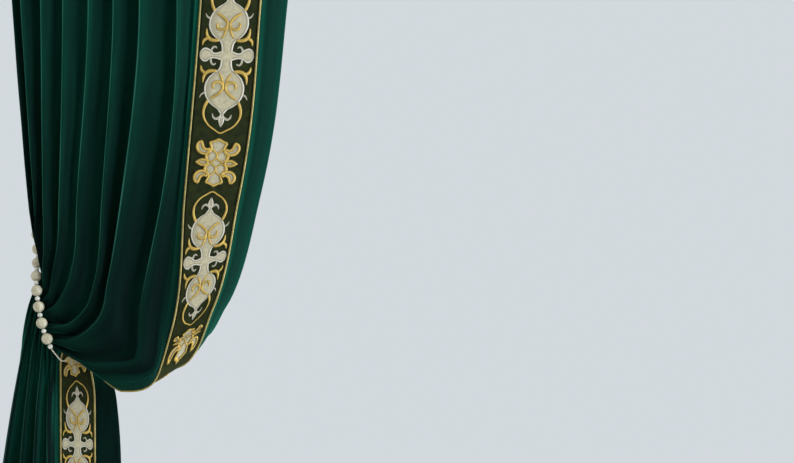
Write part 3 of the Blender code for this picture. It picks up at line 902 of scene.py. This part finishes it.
def cloth_rows(top_hem, low_hem):
    """Values of t: even, with close pairs beside the stitched edges of the two hems."""
    edges = [top_hem - EASE, top_hem + EASE, HEM - low_hem - EASE, HEM - low_hem + EASE]
    rows = np.linspace(0, HEM, CLOTH_ROWS)
    near = np.min(abs(rows[:, None] - np.array(edges)), axis=1) < ROW_CLEAR
    return np.sort(np.concatenate([rows[~near], edges]))


def in_hem(u, t, top_hem, low_hem):
    """1 where the cloth is double, inside a turned hem, and 0 elsewhere."""
    across = 1 - ease(u, SIDE_HEM_FROM - SIDE_EASE, SIDE_HEM_FROM + SIDE_EASE)
    across = np.maximum(across, ease(u, LEAD_HEM_FROM - LEAD_EASE, LEAD_HEM_FROM + LEAD_EASE))
    down = 1 - ease(t, top_hem - EASE, top_hem + EASE)
    end = HEM - low_hem
    down = np.maximum(down, ease(t, end - EASE, end + EASE))
    return np.maximum(across[None, :], down[:, None])


def draped(u, t):
    """The cloth with its folds leaning and with small slow ripples, as (t, u, xyz).

    To the solids' surface it adds a lean across the cloth, against u, of LEAN times the fold's
    height, and three sine ripples about 1 mm deep that die out under the border.
    """
    base = base_points(u, t)
    across = unit(base_points(u + STEP, t) - base_points(u - STEP, t))
    fold = (pleat_wave(u, t) * pleat_depth(u, t))[..., None]
    uu, tt = u[None, :], t[:, None]
    ripple = sum(
        depth * np.sin(2 * np.pi * (wide * uu + long * tt) + far * np.sin(a * uu + b * tt))
        for depth, wide, long, far, a, b in RIPPLES
    )
    ripple = (ripple * (1 - ease(u, PLEATS - 0.4, PLEATS)))[..., None]
    turned = (ease(u, BAND_TO, LEAD) * (1 - in_tail(t)))[..., None]
    lift = fold + ripple - STRIP_TURN * turned
    return base + base_normals(u, t) * lift - across * (fold * LEAN)


def crest(u, t):
    """The mask of the painted highlight on the folds' crests: 1 on the crest of a deep fold, falling
    evenly to 0 at CREST_SHARP before it and at CREST_SOFT after it, and on below 0.

    The whole is lowered by what a fold lacks of CREST_DEPTH, by the share of the narrow folds
    that is gone where they merge in pairs, where the last folds bend round in the swag, and a
    little in the tail.
    """
    run = u - RIDGE_AT + CREST_LEADS
    past = run - np.round(run)
    fall = np.where(past < 0, -past / CREST_SHARP, past / CREST_SOFT)
    lost = np.where(abs(run / 2 - np.round(run / 2)) < 0.25, 0, in_tail(t))
    bend = ease(t, RIB, TURN)[:, None] * (0.3 + 0.25 * ease(u, PLEATS - 3, PLEATS - 2))
    bend = bend * (1 - in_tail(t)) + 0.25 * in_tail(t)
    deep = np.minimum(pleat_depth(u, t) / CREST_DEPTH, 1) * (1 - ease(u, *WAVE_FADE))
    return deep - lost - bend - fall


def painted_pile_light(u, t):
    """The painted light and shade of the pile, about 0 for the darkest and 1 for the brightest.

    past a crest: painted light, most just past a fold's crest; it falls off as the fourth power
        of what is left of the way to the next crest.
    hollow: painted light deep in the folds, more so in the tail, fading towards the hem.
    beside: painted light on the flat cloth beside the border, at the top and in the tail.
    shown: painted light on the strip past the border, beside the piping, at the edge and lower down.
    The swag, the outer pleats and the tail's last pleats get painted shade, and the tie's painted light.
    """
    tail = in_tail(t)
    above_tie = 1 - ease(t, WAIST, UNDER_TIE)
    drawn_in = (ease(t, TURN, UNDER) * above_tie)[:, None]
    swag = (ease(t, CHEST, TURN) * above_tie)[:, None] * (1 - ease(u, PLEATS - 0.4, PLEATS))
    off_band = 1 - ease(u, BAND_FROM, BAND_FROM + 0.2)
    left = 1 - (u - RIDGE_AT + CREST_LEADS) % 1
    past_crest_light = left**4 * (1 - tail) * off_band * (1 - 0.7 * swag)
    hollow = np.clip((1 - pleat_wave(u, t)) / 2, 0, 1) ** (2 - tail) * (1 - ease(u, *WAVE_FADE))
    deep = np.minimum(pleat_depth(u, t) / CREST_DEPTH, 1) ** 2
    deep = deep * (1 - 0.8 * swag * ease(u, PLEATS - 3.5, PLEATS - 2.5))
    hollow = hollow * deep * (PAINTED_LIGHT_HOLLOW + PAINTED_LIGHT_TAIL_HOLLOW * tail) * (1 - drawn_in)
    hollow = hollow * (1 - 0.8 * ease(t, TAIL, (TAIL + HEM) / 2)[:, None])
    fades = ease(t, CHEST, KNEE)[:, None] * (0.7 + 0.25 * ease(u, PLEATS - 0.45, PLEATS - 0.25))
    beside = ease(u, PLEATS - 0.8, PLEATS - 0.55) * (1 - fades)
    flat = ease(u, PLEATS - 0.6, PLEATS - 0.4)
    beside = (beside * (1 - tail) + 0.8 * tail * flat) * off_band
    near = 1 - ease(u, BAND_TO + 0.06, BAND_TO + 0.2)
    low = ease(t, KNEE - 0.05, TURN)[:, None]
    shown = PAINTED_LIGHT_STRIP + PAINTED_LIGHT_LOW * low + PAINTED_LIGHT_NEAR * near + PAINTED_LIGHT_EDGE * ease(u, LEAD - 0.4, LEAD)
    shown = ease(u, BAND_TO, BAND_TO + 0.03) * shown * (1 - tail)
    painted_light = PAINTED_LIGHT_PLAIN + PAINTED_LIGHT_PAST_CREST * past_crest_light + hollow + PAINTED_LIGHT_BESIDE * beside + PAINTED_LIGHT_TIE * drawn_in
    painted_light = painted_light + shown - PAINTED_SHADE_OUTER * (1 - ease(u, 0.5, 2)) - PAINTED_SHADE_SWAG * swag
    return painted_light - PAINTED_SHADE_TAIL * tail * ease(u, PLEATS - 3, PLEATS - 1) * (1 - flat)


def add_velvet(sizes, colours):
    """The velvet panel: pile in front, weave behind, its four edges turned back and sewn."""
    hems = sizes.top_hem, sizes.low_hem
    u, t = cloth_columns(), cloth_rows(*hems)
    middle = draped(u, t)
    normal = grid_normals(middle)
    front = middle + normal * CLOTH_THICK / 2
    thick = CLOTH_THICK + (sizes.hem_thick - CLOTH_THICK) * in_hem(u, t, *hems)[..., None]
    # nap: the place across and down the cloth, and the pile's painted light and shade.
    place = np.broadcast_arrays(u * CUT_WIDTH / LEAD, t[:, None], painted_pile_light(u, t))
    marks = {"nap": np.stack(place, axis=-1), "crest": crest(u, t)}
    materials = [cotton_velvet(colours), velvet_back(colours)]
    piece = sheet_piece("velvet_cloth", front, front - normal * thick, materials, marks)
    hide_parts("drape_panel")


# ---- border ----

Border = namedtuple("Border", "points normals run")


def even_across(points, columns):
    """Each row of a grid with its points at even distances, as `columns` steps."""
    run = run_along(points)
    target = run[:, -1:] * np.linspace(0, 1, columns + 1)[None]
    span = (run[:, None, 1:-1] <= target[..., None]).sum(axis=2)
    rows = np.arange(len(points))[:, None]
    before, after = run[rows, span], run[rows, span + 1]
    w = ((target - before) / (after - before))[..., None]
    return points[rows, span] * (1 - w) + points[rows, span + 1] * w


def border_surface():
    """The border's place on the cloth: points and normals over it, and how far down its rows are."""
    u = np.linspace(BAND_FROM, BAND_TO, 2 * BORDER_COLUMNS + 1)
    t = np.linspace(0, HEM, BORDER_ROWS + 1)
    points = even_across(draped(u, t), BORDER_COLUMNS)
    return Border(points, grid_normals(points), run_along(points[:, BORDER_COLUMNS // 2]))


def down_border(centre, along):
    """How many metres down the border a place is, `along` millimetres from a motif's centre."""
    half_repeats, metres_down = zip(*PATTERN)
    return smooth(half_repeats, metres_down, centre + along / HALF_REPEAT)


def on_border(border, centre, shape):
    """Places (across, along, height) in millimetres from a motif's centre on the border.

    The surface is read between the four nearest points of its grid.
    """
    row = np.interp(down_border(centre, shape[..., 1]), border.run, np.arange(BORDER_ROWS + 1))
    column = (shape[..., 0] / BORDER_WIDTH + 0.5) * BORDER_COLUMNS
    r = np.clip(row.astype(int), 0, BORDER_ROWS - 1)
    c = np.clip(column.astype(int), 0, BORDER_COLUMNS - 1)
    v, w = (row - r)[..., None], (column - c)[..., None]

    def read(grid):
        upper = grid[r, c] * (1 - w) + grid[r, c + 1] * w
        lower = grid[r + 1, c] * (1 - w) + grid[r + 1, c + 1] * w
        return upper * (1 - v) + lower * v

    lift = CLOTH_THICK / 2 + GAP + BORDER_THICK + shape[..., 2:] / 1000
    return read(border.points) + unit(read(border.normals)) * lift


def mirrored(rows, across=1, along=1):
    """A shape with its places multiplied by 1 or -1 across the border and along it."""
    return [(c * across, a * along, half) for c, a, half in rows]


def doubled(rows, across=1, along=1):
    """A shape written down to the motif's centre, carried on to its mirrored other end."""
    return list(rows) + mirrored(rows[-2::-1], across, along)


def ways(rows, across=(1, -1), along=(1, -1)):
    """A shape and its mirror images across the border and along it."""
    return [mirrored(rows, x, y) for x in across for y in along]


def stroke(rows):
    """Even points along a shape's middle, with their half widths, and directions beside them."""
    path = even_path(curve_through(rows, SHAPE_SAMPLES * len(rows)), STITCH_STEP)
    return path, unit(np.gradient(path[:, :2], axis=0))[:, ::-1] * np.array([1, -1])


def under_top(path, beside, centre):
    """A stroke without what would lie above the border's top edge."""
    top = path[:, 1] - abs(beside[:, 1]) * path[:, 2]
    kept = np.flatnonzero(down_border(centre, top) > TOP_MARGIN)
    runs = np.split(kept, np.flatnonzero(np.diff(kept) > 1) + 1)
    longest = max(runs, key=len)
    return path[longest], beside[longest]


def set_across(path, beside, place, tall, mark):
    """Cross-sections set across a shape's middle and closed inside the ribbon.

    place, tall and mark are each point's distance to the side, height and mark. It returns the
    points, as (across, along, height), and their places and marks.
    """
    half = path[:, 2:]
    low = np.full((len(path), 2), SUNK)
    place = np.concatenate([place, -half, half], axis=1)
    tall = np.concatenate([tall, low], axis=1)
    flat = path[:, None, :2] + beside[:, None] * place[..., None]
    points = np.concatenate([flat, tall[..., None]], axis=2)
    return points, place, np.concatenate([mark, np.zeros_like(low)], axis=1)


def satin_rings(path, beside, join):
    """A padded satin shape: its cross-section carried along its middle, and the stitch mark.

    From each edge in come the corded rim, the groove and the padded middle. Where the shape is
    narrow they shrink with it. join gives an axis, two distances along it and a height: the
    rim rises between the two, and nearer the centre the shape is flat at that height, where it
    runs into another one.
    """
    half = path[:, 2:]
    inward, height = np.array(FILL_EDGE).T
    edge = half - inward * np.minimum(1, half / (inward[-1] + FILL_SPARE))
    middle = edge[:, -1:] * np.array(FILL_PADDING)
    place = np.concatenate([edge, middle, -middle[:, -2::-1], -edge[:, ::-1]], axis=1)
    rising, level = np.ones_like(half), FILL_MIDDLE
    if join is not None:
        axis, start, end, level = join
        rising = ease(abs(path[:, axis]), start, end)[:, None]
    tall = np.concatenate([height, [FILL_MIDDLE] * 5, height[::-1]])
    tall = (level + (tall - level) * rising) * np.minimum(1, half / FILL_THIN)
    rim = np.concatenate([RIM_MARK, [0] * 5, RIM_MARK[::-1]]) * rising
    points, place, rim = set_across(path, beside, place, tall, rim)
    run = np.arange(len(path))[:, None] * STITCH_STEP
    return points, np.stack(np.broadcast_arrays(place / 1000, run / 1000, rim), axis=-1)


def cord_rings(path, beside, base):
    """A half-round plied cord on top of `base` millimetres of stitching, and the ply mark.

    Its height is CORD_RISE of its half width, less a groove for each turn of the ply.
    """
    half = path[:, 2:]
    angle = np.linspace(0, np.pi, CORD_SIDES_UP)
    run = np.arange(len(path))[:, None] * STITCH_STEP
    ply = 1 - PLY_DEPTH * abs(np.sin(np.pi * (run / GOLD_PLY + angle / np.pi)))
    place = half * np.cos(angle) * ply
    tall = base + CORD_RISE * half * np.sin(angle) * ply
    high = np.sin(angle) * (1 - (1 - ply) / PLY_DEPTH / 2)
    points, _, high = set_across(path, beside, place, tall, high)
    return points, high


def add_shape(shells, border, centre, rows, base=None, join=None):
    """Adds one embroidered shape: a satin fill, or a gold cord where base is given."""
    path, beside = under_top(*stroke(rows), centre)
    if len(path) < 4:
        return
    if base is None:
        shape, mark = satin_rings(path, beside, join)
    else:
        shape, mark = cord_rings(path, beside, base)
    shells.add(on_border(border, centre, shape), capped_tube(*shape.shape[:2]), mark)


def embroider(border):
    """Both kinds of thread over every motif. Each entry is a thread, its shapes and their finish."""
    satin, gold = Shells(), Shells()
    on_fill = {"base": FILL_MIDDLE - CORD_SUNK}
    loop = doubled(LOOP, across=-1)
    leaves = ways(PLAQUE_LEAF, along=(1,)) + ways(PLAQUE_COMMA)
    outlines = [around(doubled(PLAQUE, along=-1), BODY_OUTLINE)]
    outlines += [around(rows, ARM_OUTLINE) for rows in leaves]
    medallion = (
        (satin, [doubled(LOBE, along=-1)], {"join": BODY_JOIN}),
        (satin, ways(ARM, along=(1,)), {"join": ARM_JOIN}),
        (satin, ways(CURL) + ways(THORN) + ways(BARB) + ways(FLEUR, across=(1,)), {}),
        (gold, ways(loop, across=(1,)) + ways(HORN_STEM) + ways(HORN_SPUR), {"base": 0}),
        (gold, ways(SCROLL) + ways(BRANCH), on_fill),
    )
    plaque = (
        (satin, [doubled(PLAQUE, along=-1)] + leaves, {}),
        (gold, outlines + ways(PLAQUE_RING) + ways(PLAQUE_CURL), on_fill),
    )
    motifs = [(centre, medallion) for centre in MEDALLIONS] + [(centre, plaque) for centre in PLAQUES]
    for centre, motif in motifs:
        for shells, shapes, finish in motif:
            for rows in shapes:
                add_shape(shells, border, centre, rows, **finish)
    return satin, gold


def around(rows, half):
    """A gold line right round a shape with two tapering ends, OUTLINE_OUT outside its edge."""
    path, beside = stroke(rows)
    out = beside * (path[:, 2:] + OUTLINE_OUT - half)
    line = np.concatenate([path[:, :2] + out, (path[:, :2] - out)[::-1]])
    return np.concatenate([line, np.full((len(line), 1), half)], axis=1)


def add_border(colours):
    """The ribbon ground of the border, sewn flat on the cloth between the pipings."""
    border = border_surface()
    inside = slice(None, None, 2), slice(1, BORDER_COLUMNS)
    points, normals = border.points[inside], border.normals[inside]
    low = CLOTH_THICK / 2 + GAP
    across = np.linspace(0, BORDER_WIDTH / 1000, BORDER_COLUMNS - 1)
    place = np.broadcast_arrays(across, border.run[::2, None], 0.0)
    front, behind = points + normals * (low + BORDER_THICK), points + normals * low
    marks, materials = {"nap": np.stack(place, axis=-1)}, [olive_ribbon(colours)]
    piece = sheet_piece("border_ribbon", front, behind, materials, marks)
    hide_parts("border_band")


def add_embroidery(colours):
    """The satin stitch and the couched gold cord of every motif, one mesh each."""
    satin, gold = embroider(border_surface())
    satin.piece("satin_embroidery", satin_thread(colours), "border_cloth", "stitch")
    # Glints about 1.5 mm long, from the strips of foil.
    cord = gold_thread("couched_gold_cord", colours.gold, colours.gold_shade, 0.25, 650.0)
    gold.piece("gold_embroidery", cord, "gold_piping", "ply")


def add_pipings(sizes, colours):
    """The two plied gold cords along the edges of the border."""
    t = np.linspace(0, HEM, PIPING_ROWS)
    # Glints about 4 mm long, drawn coarser than they are so that they show.
    bright, deep = colours.piping, colours.piping_shade
    material = gold_thread("plied_gold_piping", bright, deep, 0.3, 250.0)
    lift = CLOTH_THICK / 2 + GAP + sizes.piping / 2
    for node, at in (("piping_inner", BAND_FROM), ("piping_outer", BAND_TO)):
        u = np.array([at])
        out = base_normals(u, t)[:, 0]
        path = draped(u, t)[:, 0] + out * lift
        size = sizes.piping, sizes.piping_lay
        piece = rope_piece(f"{node}_cord", path, out, *size, material, "gold_piping")
        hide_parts(node)


# ---- the tie ----


def bead_surface(length, bore, rings, sides):
    """A turned bead along its own Z axis, from one end of its bore over its face and back.

    A sphere of the bead's length, with a rounded mouth to the bore and two faint lathe lines.
    """
    bore, radius = bore / 2, length / 2
    lean = np.arcsin(bore / radius)
    angle = np.linspace(lean, np.pi - lean, rings)
    lathe = LATHE_DEPTH * np.exp(-(((abs(angle - np.pi / 2) - LATHE_AT) / LATHE_WIDTH) ** 2))
    face = radius * (1 - lathe)[:, None] * np.stack([np.sin(angle), np.cos(angle)], axis=1)
    tip = face[0, 1]
    inner = np.array([[bore - MOUTH, tip - 2 * MOUTH], [bore - MOUTH / 2, tip - MOUTH / 3]])
    wide, high = np.concatenate([inner, face, inner[::-1] * np.array([1, -1])]).T[..., None]
    turn = 2 * np.pi * np.arange(sides) / sides
    return np.stack(np.broadcast_arrays(wide * np.cos(turn), wide * np.sin(turn), high), axis=-1)


def add_beads(sizes, colours):
    """Nine large and ten small beads, strung by turns."""
    small, large = Shells(), Shells()
    joints, lengths = bead_joints(sizes.large_bead, sizes.small_bead)
    for i, length in enumerate(lengths):
        local = bead_surface(length, sizes.bead_bore, *BEAD_GRIDS[i % 2])
        points = place_along(local, joints[i], joints[i + 1])
        faces = ring_quads(*local.shape[:2], closed=True)
        (small, large)[i % 2].add(points, faces, local + GRAIN_APART * (i + 1))
    wood = turned_wood("bleached_beech_beads", colours.large_bead, colours.large_bead_fleck, 0.08)
    piece = large.piece("large_beads", wood, "pale_wood", "turned")
    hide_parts(*[f"bead_large_{i:02d}" for i in range(1, BEAD_PAIRS + 1)])
    wood = turned_wood("white_stained_beads", colours.small_bead, colours.small_bead_fleck, 0.12)
    piece = small.piece("small_beads", wood, "white_wood", "turned")
    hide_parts(*[f"bead_small_{i:02d}" for i in range(1, BEAD_PAIRS + 2)])


def add_tie_cord(sizes, colours):
    """The closed cord of the tie: straight inside each bead, curved elsewhere."""
    joints, _ = bead_joints(sizes.large_bead, sizes.small_bead)
    behind = np.concatenate([metres([EYE]), metres(REAR_STRAND)[::-1], joints[:1]])
    loop = np.concatenate([joints, curve_through(behind, REAR_SAMPLES)])
    loop = even_path(loop, CORD_STEP)[:-1]
    out, size = loop - loop.mean(axis=0), (sizes.cord, sizes.cord_lay)
    material = cotton_cord(colours)
    piece = rope_piece("tie_cord_twist", loop, out, *size, material, "cotton_cord", closed=True)
    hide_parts("tie_cord")


# ---- stage ----


def floor_plaster():
    """Smooth pale plaster: matt, with a faint mottle a third of a metre wide."""
    material, add = new_material("pale_plaster_floor", Roughness=0.9)
    place = add("TexCoord", "Object")
    mottle = add("TexNoise", "Fac", {"Vector": place, "Scale": 3.0})
    colour = add("Mix", 2, {"Factor": mottle, 6: rgba("#e4e3df"), 7: rgba("#ebeae6")}, data_type="RGBA")
    return finished(material, {"Base Color": colour})


def add_floor():
    """A disc under the hem."""
    turn = 2 * np.pi * np.arange(96) / 96
    rim = np.stack([np.cos(turn), np.sin(turn), 0 * turn], axis=1) * FLOOR_RADIUS
    mesh = bpy.data.meshes.new("floor")
    mesh.from_pydata((rim + np.array([0, 0, FLOOR_Z])).tolist(), [], [list(range(96))])
    mesh.materials.append(floor_plaster())
    add_object("floor", mesh)


def add_lamp(name, place, aim, size, power, colour):
    """A soft rectangular lamp, turned to shine from place to aim."""
    lamp = bpy.data.lights.new(name, "AREA")
    lamp.shape = "RECTANGLE"
    lamp.size, lamp.size_y = size
    lamp.energy = power
    lamp.color = linear(colour)
    light = add_object(name, lamp)
    light.location = place
    light.rotation_euler = (Vector(aim) - Vector(place)).to_track_quat("-Z", "Y").to_euler()


def add_world():
    """An even pale sky, which lights the folds from all sides."""
    world = bpy.data.worlds.new("pale_studio")
    world.use_nodes = True
    back = world.node_tree.nodes["Background"]
    back.inputs["Color"].default_value = rgba("#e6edf2")
    back.inputs["Strength"].default_value = SKY_STRENGTH
    bpy.context.scene.world = world


def add_camera():
    """A long lens straight in front, which frames FRAME_WIDTH across the drape's plane."""
    lens = bpy.data.cameras.new("camera")
    lens.lens = lens.sensor_width * CAMERA_DISTANCE / FRAME_WIDTH
    lens.clip_end = 100
    camera = add_object("camera", lens)
    camera.location = (FRAME_CENTRE[0], -CAMERA_DISTANCE, FRAME_CENTRE[1])
    camera.rotation_euler = (np.pi / 2, 0, 0)
    bpy.context.scene.camera = camera


def add_stage():
    add_floor()
    add_world()
    for name, lamp in LAMPS.items():
        add_lamp(name, *lamp)
    add_camera()
    bpy.context.scene.view_settings.view_transform = "Standard"


# ---- the add-on ----


def length(name, description, default):
    """A length that a user would change, in metres."""
    return FloatProperty(
        name=name, description=description, default=default, min=0.0001, precision=4,
        subtype="DISTANCE", unit="LENGTH",
    )


def tint(name, description, default):
    """A colour that a user would change, from an sRGB hex value."""
    return FloatVectorProperty(
        name=name, description=description, default=rgba(default), min=0, max=1, size=4,
        subtype="COLOR",
    )


class DrapeSizes(bpy.types.PropertyGroup):
    """Sizes that a user would change."""

    top_hem: length("Top hem", "Width of the hem turned back at the top edge", 0.08)
    low_hem: length("Lower hem", "Width of the hem turned up at the lower end", 0.10)
    hem_thick: length("Hem thickness", "Thickness of the cloth where it is doubled", 0.0038)
    piping: length("Piping", "Diameter of the gold pipings", PIPING_DIAMETER)
    piping_lay: length("Piping lay", "Length of one turn of the pipings' strands", 0.015)
    cord: length("Tie cord", "Diameter of the tie's cord", CORD_DIAMETER)
    cord_lay: length("Tie cord lay", "Length of one turn of the tie cord's strands", 0.011)
    large_bead: length("Large beads", "Diameter of the large beads", LARGE_BEAD)
    small_bead: length("Small beads", "Diameter of the small beads", SMALL_BEAD)
    bead_bore: length("Bead bore", "Diameter of the hole through each bead", BEAD_BORE)


class DrapeColours(bpy.types.PropertyGroup):
    """Colours that a user would change."""

    # velvet and velvet_shade are the two ends of the pile's painted light and shade.
    velvet: tint("Velvet", "The pile where it gives back the most light", "#136651")
    velvet_shade: tint("Velvet shade", "The pile seen end on", "#010e0c")
    # The colour of the painted highlight on the folds' crests.
    velvet_crest_highlight: tint("Velvet crests", "The worn pile on the folds' crests", "#3f8574")
    velvet_sheen: tint("Velvet sheen", "The light that grazes the pile", "#2fc09c")
    back: tint("Velvet back", "The woven ground behind the pile", "#173c33")
    back_shade: tint("Velvet back shade", "The gaps between the ground's threads", "#09251f")
    border: tint("Border", "The border's pile where it is lit", "#222812")
    border_shade: tint("Border shade", "The border's pile in its hollows", "#12160a")
    satin: tint("Satin stitch", "The threads of the embroidered fills", "#b0a98a")
    satin_shade: tint("Satin stitch shade", "Between the threads of the fills", "#817b69")
    satin_rim: tint("Satin rim", "The corded rim of each fill", "#b0ac9f")
    # The painted shade in the groove inside each fill's rim.
    satin_groove_shade: tint("Satin groove", "The groove inside the rim", "#565247")
    gold: tint("Gold cord", "The couched gold cord", "#d8b555")
    # gold_shade and piping_shade are the painted shade on the cords' low places.
    gold_shade: tint("Gold cord shade", "Between the gold cord's turns", "#6b5618")
    piping: tint("Piping", "The gold pipings", "#ac9d56")
    piping_shade: tint("Piping shade", "Between the pipings' turns", "#3f3310")
    large_bead: tint("Large beads", "Bleached wood", "#b5b09a")
    large_bead_fleck: tint("Large bead flecks", "Its darker grain", "#89836c")
    small_bead: tint("Small beads", "White stained wood", "#c6c7be")
    small_bead_fleck: tint("Small bead flecks", "Its darker grain", "#9c9c8c")
    cord: tint("Tie cord", "Unbleached cotton", "#bdb8a6")
    # The painted shade between the cord's strands.
    cord_shade: tint("Tie cord shade", "Between the cord's strands", "#6f6a57")


class DRAPE_OT_velvet(bpy.types.Operator):
    """Add the velvet cloth, gathered and swept back to the tie"""

    bl_idname = "drape.velvet"
    bl_label = "Velvet cloth"

    def execute(self, context):
        add_velvet(context.scene.drape_sizes, context.scene.drape_colours)
        return {"FINISHED"}


class DRAPE_OT_border(bpy.types.Operator):
    """Add the olive ribbon of the border"""

    bl_idname = "drape.border"
    bl_label = "Border ribbon"

    def execute(self, context):
        add_border(context.scene.drape_colours)
        return {"FINISHED"}


class DRAPE_OT_embroidery(bpy.types.Operator):
    """Add the satin stitch and the gold cord of the border"""

    bl_idname = "drape.embroidery"
    bl_label = "Embroidery"

    def execute(self, context):
        add_embroidery(context.scene.drape_colours)
        return {"FINISHED"}


class DRAPE_OT_pipings(bpy.types.Operator):
    """Add the gold piping on both edges of the border"""

    bl_idname = "drape.pipings"
    bl_label = "Pipings"

    def execute(self, context):
        add_pipings(context.scene.drape_sizes, context.scene.drape_colours)
        return {"FINISHED"}


class DRAPE_OT_tie(bpy.types.Operator):
    """Add the beads and the cord of the tie"""

    bl_idname = "drape.tie"
    bl_label = "Beaded tie"

    def execute(self, context):
        add_beads(context.scene.drape_sizes, context.scene.drape_colours)
        add_tie_cord(context.scene.drape_sizes, context.scene.drape_colours)
        return {"FINISHED"}


class DRAPE_OT_stage(bpy.types.Operator):
    """Add the floor, the lights and the camera"""

    bl_idname = "drape.stage"
    bl_label = "Stage"

    def execute(self, context):
        add_stage()
        return {"FINISHED"}


class DRAPE_PT_panel(bpy.types.Panel):
    """Lists the drape's sizes, colours and pieces"""

    bl_label = "Velvet drape"
    bl_idname = "DRAPE_PT_panel"
    bl_space_type = "VIEW_3D"
    bl_region_type = "UI"
    bl_category = "Drape"

    def draw(self, context):
        for settings in (context.scene.drape_sizes, context.scene.drape_colours):
            for name in type(settings).__annotations__:
                self.layout.prop(settings, name)
        for step in STEPS:
            self.layout.operator(step.bl_idname)


STEPS = (
    DRAPE_OT_velvet,
    DRAPE_OT_border,
    DRAPE_OT_embroidery,
    DRAPE_OT_pipings,
    DRAPE_OT_tie,
    DRAPE_OT_stage,
)
CLASSES = (DrapeSizes, DrapeColours, *STEPS, DRAPE_PT_panel)


def register():
    for kind in CLASSES:
        bpy.utils.register_class(kind)
    bpy.types.Scene.drape_sizes = PointerProperty(type=DrapeSizes)
    bpy.types.Scene.drape_colours = PointerProperty(type=DrapeColours)


def unregister():
    del bpy.types.Scene.drape_sizes, bpy.types.Scene.drape_colours
    for kind in reversed(CLASSES):
        bpy.utils.unregister_class(kind)


def main():
    """Builds every piece and the stage."""
    register()
    bpy.ops.drape.velvet()
    bpy.ops.drape.border()
    bpy.ops.drape.embroidery()
    bpy.ops.drape.pipings()
    bpy.ops.drape.tie()
    bpy.ops.drape.stage()
    bpy.context.view_layer.update()


if __name__ == "__main__":
    main()
